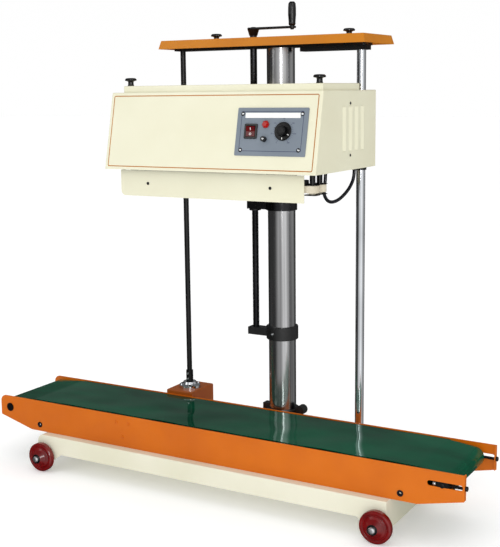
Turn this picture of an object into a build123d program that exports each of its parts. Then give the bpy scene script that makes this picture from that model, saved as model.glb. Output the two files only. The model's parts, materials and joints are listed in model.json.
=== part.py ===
from build123d import *
import os
from math import atan2, cos, pi, radians, sin, sqrt, tan

# Continuous band sealer, floor-standing, in millimetres.
# +X runs along the conveyor to the right, +Y to the back, +Z up.
# The origin lies on the floor, in the middle of the machine's footprint.

os.makedirs("parts", exist_ok=True)

# ---------------------------------------------------------------- driving dimensions

# Trolley
wheel_radius = 43.5
wheel_width = 20
wheel_face_y = 239            # outer face of each rim, from the machine's centre plane
hub_reach = 13                # how far each hub stands out past its rim
hub_ring_radius = 14
axle_places = [-563, 532]
axle_radius = 6
base_left = -587
base_right = 554
base_half_depth = 216
base_top = 108.5
base_skirt_bottom = 55
end_plate_bottom = 28
tray_sheet = 3

# Conveyor
conveyor_y = -60              # centreline of the belt
rail_left = -753
rail_right = 747
rail_top = 203.5
rail_half_width = 130         # outer face of each rail, from the belt's centreline
rail_sheet = 3
rail_flange = 22
roller_radius = 25
roller_z = 168
drive_roller_x = -716
tail_roller_x = 690
journal_radius = 10
tail_axle_radius = 7
belt_half_width = 116
belt_thickness = 2
belt_gap = 0.3                # between the belt's inside and the rollers
belt_top = 202.5
bed_left = -625
bed_right = 619
slot_length = 92
slot_height = 14
slot_x = 697
slot_z = 170
take_up_offset = 122          # adjusting screws, from the belt's centreline
take_up_radius = 4

# Column line: column, lead screw, guide post and drive shaft stand in one plane
posts_y = 122
column_x = 79.5
column_radius = 40
column_wall = 4
screw_x = -9
screw_radius = 9.95
post_x = 328
post_radius = 12.5
shaft_x = -251
shaft_radius = 8
top_plate_z = 1248
top_plate_thickness = 8
running_gap = 0.05
clamp_low, clamp_high = 409, 448

# Top cover and crank
cover_left, cover_right = -265, 375
cover_front, cover_rear = 28, 218
cover_top = 1276
cover_height = 24
cover_sheet = 2
cover_knob_places = [-133, 291]
hub_low, hub_high = 1285, 1302
arm_reach = 125
arm_thickness = 5.6
pin_radius = 5
grip_radius = 10.5
grip_low, grip_high = 1309, 1374

# Head at its working height
head_left = -304
head_right = 351.5
head_bottom = 920
head_top = 1129
head_rear = 169.5
front_bottom_y = -205.5
front_top_y = -159.5
head_sheet = 1.5
chassis_thickness = 4
lid_left, lid_right = -269, 346
lid_front, lid_rear = -153.5, 70
lid_top = 1147
lid_knob_places = [-255, 330]
lid_knob_y = -138
sleeve_radius = 45

# Sealing line: wheels and belts lie in front of and behind the plane of the bag's mouth
seal_y = -136
wheel_offset = 20.1
outfeed_x = -238
band_wheel_x = 232
infeed_x = 319
sealing_wheel_radius = 17
band_low, band_high = 896, 911
band_thickness = 0.6
guide_wheel_radius = 15.1
guide_low, guide_high = 872, 890
guide_belt_thickness = 2.5
spindle_radius = 5
housing_radius = 11
infeed_housing_radius = 7.5
guard_left, guard_right = -267, 307
guard_face_y = -180.5
guard_low, guard_high = 846, 917
guard_screw_places = [-175.5, 209]

# Gearing
chain_y = 81                  # middle of the chain
chain_width = 5
sprocket_radius = 18
chain_outer_radius = 22
mitre_radius = 20
mitre_teeth = 20
cross_shaft_radius = 6
box_left, box_right = -303, -209
box_rear = 192
box_top = 216
box_sheet = 2                 # sheet of the gearbox cover and its chain case
case_rear = 96
case_low, case_high = 140, 193
coupling_low, coupling_high = 237, 271


# ---------------------------------------------------------------- helpers

def save(piece, label):
    """Label a finished piece and write its STEP file."""
    piece.part.label = label
    export_step(piece.part, f"parts/{label}.step")


def upright(y):
    """Plane across the machine's depth: local x is +X, local y is +Z, the normal is -Y."""
    return Plane(origin=(0, y, 0), x_dir=(1, 0, 0), z_dir=(0, -1, 0))


def endwise(x):
    """Plane across the machine's length: local x is +Y, local y is +Z, the normal is +X."""
    return Plane(origin=(x, 0, 0), x_dir=(0, 1, 0), z_dir=(1, 0, 0))


def level(z):
    """Horizontal plane at height z."""
    return Plane.XY.offset(z)


def block(x_span, y_span, z_span, mode=Mode.ADD):
    """Rectangular block between two corners."""
    spans = (x_span, y_span, z_span)
    with Locations(tuple((low + high) / 2 for low, high in spans)):
        Box(*(high - low for low, high in spans), mode=mode)


def upright_rod(x, y, z_span, radius, mode=Mode.ADD):
    """Cylinder along Z."""
    low, high = z_span
    with Locations((x, y, (low + high) / 2)):
        Cylinder(radius, high - low, mode=mode)


def cross_rod(x, z, y_span, radius, mode=Mode.ADD):
    """Cylinder along Y."""
    low, high = y_span
    with Locations(Location((x, (low + high) / 2, z), (90, 0, 0))):
        Cylinder(radius, high - low, mode=mode)


def long_rod(y, z, x_span, radius, mode=Mode.ADD):
    """Cylinder along X."""
    low, high = x_span
    with Locations(Location(((low + high) / 2, y, z), (0, 90, 0))):
        Cylinder(radius, high - low, mode=mode)


front = conveyor_y - rail_half_width     # outer face of the front rail
rear = conveyor_y + rail_half_width      # outer face of the rear rail
axle_z = wheel_radius


# ---------------------------------------------------------------- trolley

# Folded tray, open below, with deep end plates and an ear beside each wheel
with BuildPart() as base_tray:
    with BuildSketch(upright(base_half_depth)) as side_view:
        Polygon(
            (base_left, end_plate_bottom),
            (base_left, base_top),
            (base_right, base_top),
            (base_right, end_plate_bottom),
            (base_right - 45, end_plate_bottom),
            (base_right - 80, base_skirt_bottom),
            (base_left + 90, base_skirt_bottom),
            (base_left + 50, end_plate_bottom),
            align=None,
        )
        fillet(side_view.vertices().sort_by_distance((base_left, base_top))[0], radius=22)
    extrude(amount=2 * base_half_depth)
    fold_line = base_tray.faces().filter_by(Axis.Y).edges().filter_by_position(Axis.Z, base_top - 22, base_top)
    fillet(fold_line - base_tray.edges().filter_by(Axis.Z), radius=2.5)
    with BuildSketch(upright(base_half_depth - tray_sheet)) as hollow:
        Polygon(
            (base_left + tray_sheet, 0),
            (base_left + tray_sheet, base_top - tray_sheet),
            (base_right - tray_sheet, base_top - tray_sheet),
            (base_right - tray_sheet, 0),
            align=None,
        )
        corner = (base_left + tray_sheet, base_top - tray_sheet)
        fillet(hollow.vertices().sort_by_distance(corner)[0], radius=22 - tray_sheet)
    extrude(amount=2 * (base_half_depth - tray_sheet), mode=Mode.SUBTRACT)
    for x in axle_places:
        through = (-base_half_depth - 1, base_half_depth + 1)
        cross_rod(x, axle_z, through, axle_radius + 0.2, mode=Mode.SUBTRACT)
save(base_tray, "base_tray")

# Two fixed axles, right across the tray
hub_face_y = wheel_face_y + hub_reach
with BuildPart() as wheel_axles:
    for x in axle_places:
        cross_rod(x, axle_z, (-hub_face_y - 4, hub_face_y + 4), axle_radius)
save(wheel_axles, "wheel_axles")

# Domed cap nuts on their thrust rings outside the wheels, and a washer between each wheel and the tray
nut_section = [
    (0.4, axle_radius),
    (0.4, hub_ring_radius),
    (2, hub_ring_radius),
    (2, 8.5),
    (6.5, 8.5),
    (8.5, 6.5),
    (9, 0),
    (4, 0),
    (4, axle_radius),
]
with BuildPart() as axle_nuts:
    for side in (-1, 1):
        for x in axle_places:
            with BuildSketch(endwise(x)):
                Polygon(
                    *[(side * (hub_face_y + reach), axle_z + r) for reach, r in nut_section],
                    align=None,
                )
            revolve(axis=Axis((x, 0, axle_z), (0, 1, 0)))
            washer = sorted((side * base_half_depth, side * (base_half_depth + 2.5)))
            cross_rod(x, axle_z, washer, 11)
            cross_rod(x, axle_z, washer, axle_radius, mode=Mode.SUBTRACT)
save(axle_nuts, "axle_nuts")

# Solid wheels: a rounded rim, a groove inside it, and a cone that rises to the hub
wheel_section = [
    (-hub_reach, axle_radius + running_gap),
    (-hub_reach, hub_ring_radius),
    (1 - hub_reach, hub_ring_radius + 1.5),
    (-3.5, 22),
    (-2.5, 24),
    (0, 30.5),
    (2, 31.5),
    (2, 34),
    (0.5, 35),
    (0.5, 39.5),
    (3.5, wheel_radius),
    (wheel_width - 3.5, wheel_radius),
    (wheel_width, 40),
    (wheel_width, axle_radius + running_gap),
]
for depth_name, side in (("front", -1), ("rear", 1)):
    for length_name, x in zip(("left", "right"), axle_places):
        with BuildPart() as wheel:
            with BuildSketch(endwise(x)):
                Polygon(
                    *[(side * (wheel_face_y - inset), axle_z + r) for inset, r in wheel_section],
                    align=None,
                )
            revolve(axis=Axis((x, 0, axle_z), (0, 1, 0)))
        save(wheel, f"wheel_{depth_name}_{length_name}")


# ---------------------------------------------------------------- conveyor

rail_outline = [
    (rail_left, 140.7),
    (rail_left, rail_top),
    (rail_right, rail_top),
    (rail_right, 136),
    (rail_right - 122, base_top),
    (rail_left + 121, base_top),
]
rail_hole_places = [(-598, 128.5), (580.5, 128.5)]
rail_screw_places = [(-306, 180.5), (-263, 180.5), (-284, 138.3)]

# Pressed channels with a foot flange, a slot for the take-up and a folded tab at the right end
for name, face_y, inward in (("rail_front", front, 1), ("rail_rear", rear, -1)):
    web = sorted((face_y, face_y + inward * rail_sheet))
    with BuildPart() as rail:
        with BuildSketch(upright(web[1])) as outline:
            Polygon(*rail_outline, align=None)
            fillet(outline.vertices().sort_by_distance((rail_left, rail_top))[0], radius=20)
            with Locations((slot_x, slot_z)):
                SlotOverall(slot_length, slot_height, mode=Mode.SUBTRACT)
            with Locations(*rail_hole_places):
                Circle(7, mode=Mode.SUBTRACT)
            with Locations((drive_roller_x, roller_z)):
                Circle(13, mode=Mode.SUBTRACT)
            if name == "rail_front":
                with Locations(*rail_screw_places):
                    Circle(3, mode=Mode.SUBTRACT)
            else:
                with Locations((shaft_x, roller_z)):
                    Circle(cross_shaft_radius + running_gap, mode=Mode.SUBTRACT)
        extrude(amount=rail_sheet)
        foot = sorted((face_y + inward * rail_sheet, face_y + inward * rail_flange))
        block((rail_left + 150, rail_right - 150), foot, (base_top, base_top + rail_sheet))
        tab = sorted((face_y + inward * rail_sheet, face_y + inward * 13))
        block((rail_right - rail_sheet, rail_right), tab, (137, rail_top - 0.5))
        screw_y = conveyor_y - inward * take_up_offset
        tab_hole = (rail_right - 5, rail_right + 1)
        long_rod(screw_y, slot_z, tab_hole, take_up_radius + 0.2, mode=Mode.SUBTRACT)
    save(rail, name)

# Folded bed that the belt slides on, with cross ties under it
bed_top = belt_top - belt_thickness
bed_half_width = rail_half_width - rail_sheet
with BuildPart() as slider_bed:
    bed_span = (conveyor_y - bed_half_width, conveyor_y + bed_half_width)
    block((bed_left, bed_right), bed_span, (bed_top - 3, bed_top))
    for inner, outer in ((bed_span[0], bed_span[0] + 3), (bed_span[1] - 3, bed_span[1])):
        block((bed_left, bed_right), (inner, outer), (186, bed_top - 3))
    for x in (-500, -170, 170, 500):
        block((x - 10, x + 10), (bed_span[0] + 3, bed_span[1] - 3), (178, bed_top - 3))
save(slider_bed, "slider_bed")


# Endless belt round both rollers, lifted over the bed between them
with BuildPart() as conveyor_belt:
    for skin, how in ((belt_thickness, Mode.ADD), (0, Mode.SUBTRACT)):
        with BuildSketch(upright(conveyor_y + belt_half_width)):
            with Locations((drive_roller_x, roller_z), (tail_roller_x, roller_z)):
                Circle(roller_radius + belt_gap + skin)
            with Locations((bed_left, bed_top - 1), (bed_right, bed_top - 1)):
                Circle(1 + skin)
            make_hull()
        extrude(amount=2 * belt_half_width, mode=how)
save(conveyor_belt, "conveyor_belt")

# Driven roller at the left end; its rear journal carries the chain sprocket
with BuildPart() as drive_roller:
    cross_rod(drive_roller_x, roller_z, (conveyor_y - 114, conveyor_y + 114), roller_radius)
    cross_rod(drive_roller_x, roller_z, (front - 1, 90), journal_radius)
    fillet(drive_roller.edges().filter_by(GeomType.CIRCLE).group_by(SortBy.RADIUS)[-1], radius=2)
save(drive_roller, "drive_roller")

# Flanged bearing in each rail for the driven roller
with BuildPart() as roller_bearings:
    for face_y, inward in ((front, 1), (rear, -1)):
        barrel = sorted((face_y - inward * 1.5, face_y + inward * 9))
        flange = sorted((face_y + inward * rail_sheet, face_y + inward * 6))
        cross_rod(drive_roller_x, roller_z, barrel, 13)
        cross_rod(drive_roller_x, roller_z, flange, 19)
        bore_radius = journal_radius + running_gap
        cross_rod(drive_roller_x, roller_z, barrel, bore_radius, mode=Mode.SUBTRACT)
save(roller_bearings, "roller_bearings")

# Idle roller at the right end, on a dead axle
with BuildPart() as tail_roller:
    roller_span = (conveyor_y - 106, conveyor_y + 106)
    cross_rod(tail_roller_x, roller_z, roller_span, roller_radius)
    cross_rod(tail_roller_x, roller_z, roller_span, tail_axle_radius + running_gap, mode=Mode.SUBTRACT)
save(tail_roller, "tail_roller")

with BuildPart() as tail_axle:
    cross_rod(tail_roller_x, roller_z, (conveyor_y - 117, conveyor_y + 117), tail_axle_radius)
save(tail_axle, "tail_axle")

# Sliding blocks that hold the dead axle, each guided by the slot in its rail
with BuildPart() as take_up_blocks:
    for side in (-1, 1):
        body = sorted((conveyor_y + side * 108, conveyor_y + side * 127))
        pad = sorted((conveyor_y + side * 127, conveyor_y + side * 129.5))
        block((673, 707), body, (157, 179))
        block((676, 704), pad, (slot_z - 6.6, slot_z + 6.6))
        axle_end = sorted((conveyor_y + side * 100, conveyor_y + side * 117))
        cross_rod(tail_roller_x, roller_z, axle_end, tail_axle_radius, mode=Mode.SUBTRACT)
        screw_y = conveyor_y + side * take_up_offset
        long_rod(screw_y, slot_z, (660, 720), take_up_radius, mode=Mode.SUBTRACT)
save(take_up_blocks, "take_up_blocks")

# Adjusting screws with a hexagonal head outside the tab and a lock nut inside
with BuildPart() as take_up_screws:
    for side in (-1, 1):
        screw_y = conveyor_y + side * take_up_offset
        long_rod(screw_y, slot_z, (662, rail_right + 1), take_up_radius)
        for x, length in ((rail_right + 0.2, 5.8), (665, 6)):
            with BuildSketch(Plane(origin=(x, screw_y, slot_z), x_dir=(0, 1, 0), z_dir=(1, 0, 0))):
                RegularPolygon(6.3, 6)
            extrude(amount=length)
save(take_up_screws, "take_up_screws")

# Painted button heads on the front rail
with BuildPart() as frame_bolts:
    for x, z in rail_screw_places:
        cross_rod(x, z, (front, front + rail_sheet), 3)
        cross_rod(x, z, (front - 2.4, front), 5)
save(frame_bolts, "frame_bolts")


# ---------------------------------------------------------------- lower drive

def mitre_gear(plane, bore, first_groove):
    """Mitre gear with its apex at the plane's origin and its back along the plane's normal."""
    addendum, dedendum, half_space = 1.2, 1.4, 1.8
    slant = mitre_radius * sqrt(2)
    with BuildPart() as gear:
        with BuildSketch(Plane.XZ):
            Polygon(
                (bore, 12.45),
                (13.55, 12.45),
                (20.85, 19.15),
                (17, 24),
                (12.5, 24),
                (12.5, 30),
                (bore, 30),
                align=None,
            )
        revolve(axis=Axis.Z)
        generator = Vector(1, 0, 1).normalized()
        for turn in range(mitre_teeth):
            heading = first_groove + turn * 360 / mitre_teeth
            along = generator.rotate(Axis.Z, heading)
            sideways = Vector(0, 1, 0).rotate(Axis.Z, heading)
            for reach in (0.55 * slant, 1.15 * slant):
                scale = reach / slant
                narrow = (half_space - dedendum * tan(radians(20))) * scale
                wide = (half_space + 3 * tan(radians(20))) * scale
                with BuildSketch(Plane(origin=along * reach, x_dir=sideways, z_dir=along)) as space:
                    outward = 1 if space.workplanes[0].y_dir.Z < 0 else -1
                    Polygon(
                        (-narrow, -outward * dedendum * scale),
                        (narrow, -outward * dedendum * scale),
                        (wide, outward * 3 * scale),
                        (-wide, outward * 3 * scale),
                        align=None,
                    )
            loft(mode=Mode.SUBTRACT)
    return plane.location * gear.part


def sprocket(centre_x, bore):
    """Twelve-tooth chain wheel with a hub, on an axis along Y at the rollers' height."""
    with BuildPart() as wheel:
        with BuildSketch(upright(chain_y + chain_width / 2)):
            with Locations((centre_x, roller_z)):
                Circle(sprocket_radius)
                with PolarLocations(sprocket_radius + 0.6, 12):
                    Circle(3, mode=Mode.SUBTRACT)
        extrude(amount=chain_width)
        cross_rod(centre_x, roller_z, (74, 89), bore + 3)
        cross_rod(centre_x, roller_z, (70, 95), bore, mode=Mode.SUBTRACT)
    return wheel


apex = (shaft_x, posts_y, roller_z)

# Upper mitre gear, keyed to the drive shaft, with a tooth space towards the contact line
pinion_solid = mitre_gear(Plane(origin=apex, x_dir=(0, -1, 0), z_dir=(0, 0, 1)), shaft_radius, 0)
with BuildPart() as bevel_pinion:
    add(pinion_solid)
save(bevel_pinion, "bevel_pinion")

# Cross shaft with its integral mitre gear, half a tooth round so that the two mesh
gear_plane = Plane(origin=apex, x_dir=(0, 0, 1), z_dir=(0, -1, 0))
gear_solid = mitre_gear(gear_plane, cross_shaft_radius, 180 / mitre_teeth)
with BuildPart() as bevel_gear_shaft:
    add(gear_solid)
    cross_rod(shaft_x, roller_z, (rear - rail_sheet + 0.2, box_rear), cross_shaft_radius)
save(bevel_gear_shaft, "bevel_gear_shaft")

save(sprocket(shaft_x, cross_shaft_radius), "chain_sprocket")
save(sprocket(drive_roller_x, journal_radius), "roller_sprocket")

# Roller chain, as its closed outline round the two sprockets
with BuildPart() as drive_chain:
    for radius, how in ((chain_outer_radius, Mode.ADD), (sprocket_radius + 0.3, Mode.SUBTRACT)):
        with BuildSketch(upright(chain_y + chain_width / 2)):
            with Locations((drive_roller_x, roller_z), (shaft_x, roller_z)):
                Circle(radius)
            make_hull()
        extrude(amount=chain_width, mode=how)
save(drive_chain, "drive_chain")

# Folded cover over the mitre gears, with a low case along the rail for the chain
with BuildPart() as gearbox_cover:
    block((box_left, box_right), (rear, box_rear), (base_top, box_top))
    fillet(gearbox_cover.faces().sort_by(Axis.Z)[-1].edges(), radius=4)
    block((rail_left + 7, box_left), (rear, case_rear), (case_low, case_high))
    box_inside = (box_left + box_sheet, box_right - box_sheet)
    box_depth = (rear + box_sheet, box_rear - box_sheet)
    block(box_inside, box_depth, (base_top - 1, box_top - box_sheet), Mode.SUBTRACT)
    case_inside = (rail_left + 7 + box_sheet, box_left + box_sheet)
    case_depth = (rear - 1, case_rear - box_sheet)
    block(case_inside, case_depth, (case_low - 1, case_high - box_sheet), Mode.SUBTRACT)
    cross_rod(shaft_x, roller_z, (box_rear - 10, box_rear), 12)
    bearing_radius = cross_shaft_radius + running_gap
    cross_rod(shaft_x, roller_z, (box_rear - 11, box_rear + 1), bearing_radius, Mode.SUBTRACT)
    cross_rod(shaft_x, roller_z, (rear - 1, rear + box_sheet + 1), cross_shaft_radius + 2, Mode.SUBTRACT)
    upright_rod(shaft_x, posts_y, (box_top - 5, box_top + 1), 12, Mode.SUBTRACT)
save(gearbox_cover, "gearbox_cover")

# Stepped flange bearing on top of the cover
with BuildPart() as shaft_flange:
    with BuildSketch(endwise(shaft_x)):
        Polygon(
            (posts_y + shaft_radius + running_gap, box_top),
            (posts_y + 33, box_top),
            (posts_y + 33, box_top + 9),
            (posts_y + 31, box_top + 11),
            (posts_y + 23, box_top + 12.5),
            (posts_y + 20, box_top + 19.6),
            (posts_y + shaft_radius + running_gap, box_top + 20.2),
            align=None,
        )
    revolve(axis=Axis((shaft_x, posts_y, 0), (0, 0, 1)))
save(shaft_flange, "shaft_flange")

# Sleeve that joins the long shaft to the gear's stub, with holes for two set screws
with BuildPart() as shaft_coupling:
    upright_rod(shaft_x, posts_y, (coupling_low, coupling_high), 11)
    upright_rod(shaft_x, posts_y, (coupling_low, coupling_high), shaft_radius, Mode.SUBTRACT)
    for z in (coupling_low + 8, coupling_high - 9):
        cross_rod(shaft_x, z, (posts_y - 12, posts_y), 2.5, Mode.SUBTRACT)
save(shaft_coupling, "shaft_coupling")

# One straight vertical shaft from the gearbox to the top plate
with BuildPart() as drive_shaft:
    upright_rod(shaft_x, posts_y, (roller_z + 12.5, top_plate_z + 7), shaft_radius)
save(drive_shaft, "drive_shaft")


# ---------------------------------------------------------------- column, post and top

# Ground steel tube
with BuildPart() as column:
    upright_rod(column_x, posts_y, (base_top + 6, top_plate_z), column_radius)
    inside = column_radius - column_wall
    upright_rod(column_x, posts_y, (base_top + 6, top_plate_z), inside, Mode.SUBTRACT)
save(column, "column")

# Cast feet: the column's socket with two clamping lugs, and the guide post's round foot
with BuildPart() as cast_feet:
    block((column_x - 68, column_x + 68), (posts_y - 49, posts_y + 49), (base_top, base_top + 12))
    fillet(cast_feet.edges().filter_by(Axis.Z), radius=12)
    upright_rod(column_x, posts_y, (base_top, 198), 49)
    block((column_x - 61, column_x - 40), (posts_y - 12, posts_y + 12), (150, 207))
    block((column_x + 40, column_x + 62), (posts_y - 12, posts_y + 12), (150, 198))
    cross_rod(column_x + 62, 198, (posts_y - 14, posts_y + 14), 14)
    upright_rod(column_x, posts_y, (base_top + 6, 230), column_radius, Mode.SUBTRACT)
    with Locations(*[(column_x + dx, posts_y + dy, base_top) for dx in (-58, 58) for dy in (-38, 38)]):
        Cylinder(4.5, 60, mode=Mode.SUBTRACT)
    upright_rod(post_x, posts_y, (base_top, base_top + 10), 32)
    upright_rod(post_x, posts_y, (base_top + 10, base_top + 40), 19)
    upright_rod(post_x, posts_y, (base_top + 4, base_top + 41), post_radius, Mode.SUBTRACT)
    with Locations((post_x, posts_y, base_top)):
        with PolarLocations(25.5, 4, start_angle=45):
            Cylinder(3.3, 60, mode=Mode.SUBTRACT)
save(cast_feet, "cast_feet")

# Chrome post that keeps the head from turning round the column
with BuildPart() as guide_post:
    upright_rod(post_x, posts_y, (base_top + 4, top_plate_z - 12), post_radius)
save(guide_post, "guide_post")

# Plate that ties the shaft, the screw, the column and the post together
plate_span = (posts_y - 30, posts_y + 30)
plate_top = top_plate_z + top_plate_thickness
with BuildPart() as top_plate:
    block((shaft_x - 14, post_x + 22), plate_span, (top_plate_z, plate_top))
    fillet(top_plate.edges().filter_by(Axis.Z), radius=8)
    block((column_x + 70, post_x + 20), (posts_y - 18, posts_y + 18), (top_plate_z - 12, top_plate_z))
    for x in cover_knob_places:
        upright_rod(x, posts_y, (plate_top, cover_top - cover_sheet), 9)
        upright_rod(x, posts_y, (top_plate_z - 13, cover_top), 4, Mode.SUBTRACT)
    upright_rod(shaft_x, posts_y, (1240, 1260), shaft_radius + running_gap, Mode.SUBTRACT)
    upright_rod(screw_x, posts_y, (1240, 1260), screw_radius + running_gap, Mode.SUBTRACT)
save(top_plate, "top_plate")

# Folded tray with flared skirts
with BuildPart() as top_cover:
    for skin, how in ((0, Mode.ADD), (cover_sheet, Mode.SUBTRACT)):
        with BuildSketch(level(cover_top - skin)):
            with Locations(((cover_left + cover_right) / 2, (cover_front + cover_rear) / 2)):
                Rectangle(cover_right - cover_left - 2 * skin, cover_rear - cover_front - 2 * skin)
        extrude(amount=-cover_height, taper=-14, mode=how)
        if how == Mode.ADD:
            fillet(top_cover.edges() - top_cover.faces().sort_by(Axis.Z)[0].edges(), radius=1.8)
    upright_rod(screw_x, posts_y, (1260, 1280), 14, Mode.SUBTRACT)
    for x in cover_knob_places:
        upright_rod(x, posts_y, (1260, 1280), 4.5, Mode.SUBTRACT)
save(top_cover, "top_cover")


def hand_knob_section(x, seat, height, stud):
    """Half section of a mushroom knob with its stud, in the plane through its axis along X."""
    return [
        (x, seat - stud),
        (x + 4, seat - stud),
        (x + 4, seat),
        (x + 9, seat),
        (x + 8, seat + height - 10),
        (x + 16, seat + height - 8),
        (x + 16, seat + height - 3),
        (x + 12, seat + height),
        (x, seat + height),
    ]


with BuildPart() as cover_knobs:
    for x in cover_knob_places:
        with BuildSketch(upright(posts_y)):
            Polygon(*hand_knob_section(x, cover_top, 19, 26), align=None)
        revolve(axis=Axis((x, posts_y, 0), (0, 0, 1)))
save(cover_knobs, "cover_knobs")

# Split ring low on the column, with an arm that holds the lead screw's foot
with BuildPart() as column_clamp:
    upright_rod(column_x, posts_y, (clamp_low, clamp_high), 47)
    fillet(column_clamp.edges(), radius=2)
    block((screw_x - 19, column_x - 38), (posts_y - 17, posts_y + 17), (clamp_low + 5, clamp_high - 12))
    upright_rod(column_x, posts_y, (clamp_low - 1, clamp_high + 1), column_radius, Mode.SUBTRACT)
    pocket = (clamp_low + 9, clamp_high)
    upright_rod(screw_x, posts_y, pocket, screw_radius + running_gap, Mode.SUBTRACT)
save(column_clamp, "column_clamp")


# ---------------------------------------------------------------- lead screw and crank

with BuildPart() as lead_screw:
    upright_rod(screw_x, posts_y, (clamp_low + 10, hub_high), screw_radius)
save(lead_screw, "lead_screw")

# Hub, flat arm and riveted pin
grip_x = screw_x + arm_reach
with BuildPart() as crank_arm:
    upright_rod(screw_x, posts_y, (hub_low, hub_high), 15)
    upright_rod(screw_x, posts_y, (hub_low - 1, hub_high + 1), screw_radius, Mode.SUBTRACT)
    with BuildSketch(level(hub_high)):
        with Locations((screw_x, posts_y)):
            Circle(17)
        with Locations((grip_x, posts_y)):
            Circle(11)
        make_hull()
    extrude(amount=arm_thickness)
    upright_rod(grip_x, posts_y, (hub_high - 4.5, hub_high), 5.5)
    upright_rod(grip_x, posts_y, (hub_high, grip_high - 8), pin_radius)
save(crank_arm, "crank_arm")

# Turned grip, free on the pin
with BuildPart() as crank_grip:
    with BuildSketch(upright(posts_y)):
        Polygon(
            (grip_x, grip_low),
            (grip_x + 8, grip_low),
            (grip_x + 10, grip_low + 4),
            (grip_x + grip_radius, grip_low + 30),
            (grip_x + 9.6, grip_high - 5),
            (grip_x + 6, grip_high),
            (grip_x, grip_high),
            align=None,
        )
    revolve(axis=Axis((grip_x, posts_y, 0), (0, 0, 1)))
    upright_rod(grip_x, posts_y, (grip_low, grip_high - 7.5), pin_radius + running_gap, Mode.SUBTRACT)
save(crank_grip, "crank_grip")


# ---------------------------------------------------------------- head housing

slope = atan2(front_top_y - front_bottom_y, head_top - head_bottom)
# The sloped front: local x is +X, local y runs up the panel from its bottom edge
front_plane = Plane(
    origin=(0, front_bottom_y, head_bottom), x_dir=(1, 0, 0), z_dir=(0, -cos(slope), sin(slope))
)
panel_centre = (215, 108)
panel_size = (206, 124.5)
rocker_place = (156, 109)
lamp_place = (198, 126)
knob_place = (198, 88.5)
dial_place = (250, 109.5)
louvre_places = [-45, -7, 31, 69]
louvre_low, louvre_high = 972, 1086

# Sheet casing, open below: sloped front, sides with pressed louvres, back and top
with BuildPart() as head_cover:
    with BuildSketch(endwise(head_left)) as section:
        Polygon(
            (front_bottom_y, head_bottom),
            (front_top_y, head_top),
            (head_rear, head_top),
            (head_rear, head_bottom),
            align=None,
        )
    extrude(amount=head_right - head_left)
    fillet(head_cover.edges() - head_cover.faces().sort_by(Axis.Z)[0].edges(), radius=3)
    offset(amount=-head_sheet, openings=head_cover.faces().sort_by(Axis.Z)[0])
    block((lid_left + 18, lid_right - 18), (lid_front + 30, lid_rear - 18), (1120, 1135), Mode.SUBTRACT)
    for x, radius in ((column_x, 47), (screw_x, 15), (shaft_x, 14), (post_x, 17)):
        upright_rod(x, posts_y, (1120, 1135), radius, Mode.SUBTRACT)
    for x in lid_knob_places:
        upright_rod(x, lid_knob_y, (1120, 1135), 4.2, Mode.SUBTRACT)
    with BuildSketch(front_plane.offset(-5)):
        with Locations(rocker_place):
            Rectangle(30, 32)
        with Locations(dial_place, knob_place, lamp_place):
            Circle(4)
    extrude(amount=8, mode=Mode.SUBTRACT)
    for y in louvre_places:
        block((head_right - 4, head_right + 1), (y, y + 9), (louvre_low, louvre_high), Mode.SUBTRACT)
        with BuildSketch(level(louvre_low)):
            Polygon(
                (head_right - head_sheet, y - 1.5),
                (head_right, y - 1.5),
                (head_right + 5, y + 8),
                (head_right + 5, y + 9.5),
                (head_right + 3.8, y + 9.5),
                (head_right - head_sheet, y),
                align=None,
            )
        extrude(amount=louvre_high - louvre_low)
        for z in (louvre_low, louvre_high - 1.2):
            with BuildSketch(level(z)):
                Polygon(
                    (head_right - head_sheet, y - 1.5),
                    (head_right, y - 1.5),
                    (head_right + 5, y + 8),
                    (head_right + 5, y + 9.5),
                    (head_right - head_sheet, y + 9.5),
                    align=None,
                )
            extrude(amount=1.2)
save(head_cover, "head_cover")

# Shallow folded lid over the service opening
with BuildPart() as head_lid:
    block((lid_left, lid_right), (lid_front, lid_rear), (head_top, lid_top))
    fillet(head_lid.edges() - head_lid.faces().sort_by(Axis.Z)[0].edges(), radius=3)
    offset(amount=-head_sheet, openings=head_lid.faces().sort_by(Axis.Z)[0])
    for x in lid_knob_places:
        upright_rod(x, lid_knob_y, (1140, 1150), 4.2, Mode.SUBTRACT)
save(head_lid, "head_lid")

with BuildPart() as lid_knobs:
    for x in lid_knob_places:
        with BuildSketch(upright(lid_knob_y)):
            Polygon(*hand_knob_section(x, lid_top, 22, 28), align=None)
        revolve(axis=Axis((x, lid_knob_y, 0), (0, 0, 1)))
save(lid_knobs, "lid_knobs")

front_axis_y = seal_y - wheel_offset
rear_axis_y = seal_y + wheel_offset
spindle_places = [
    (outfeed_x, 914, housing_radius),
    (band_wheel_x, 914, housing_radius),
    (infeed_x, 893, infeed_housing_radius),
]

# Base plate of the head with the spindle housings, the post's bush and the guard's tabs
with BuildPart() as chassis_plate:
    plate_y = (front_bottom_y + 3, head_rear - head_sheet)
    inside_x = (head_left + head_sheet, head_right - head_sheet)
    block(inside_x, plate_y, (head_bottom, head_bottom + chassis_thickness))
    for x, low, radius in spindle_places:
        for y in (front_axis_y, rear_axis_y):
            upright_rod(x, y, (low, head_bottom + 14), radius)
            upright_rod(x, y, (low - 1, 940), spindle_radius + running_gap, Mode.SUBTRACT)
    upright_rod(post_x, posts_y, (912, 932), 15.5)
    upright_rod(post_x, posts_y, (900, 940), post_radius + running_gap, Mode.SUBTRACT)
    upright_rod(column_x, posts_y, (910, 930), sleeve_radius, Mode.SUBTRACT)
    upright_rod(screw_x, posts_y, (910, 930), 14, Mode.SUBTRACT)
    upright_rod(shaft_x, posts_y, (910, 930), 12, Mode.SUBTRACT)
    for x in guard_screw_places:
        tab_y = (guard_face_y + head_sheet, guard_face_y + head_sheet + 2.5)
        block((x - 12, x + 12), tab_y, (868, head_bottom))
save(chassis_plate, "chassis_plate")

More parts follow.
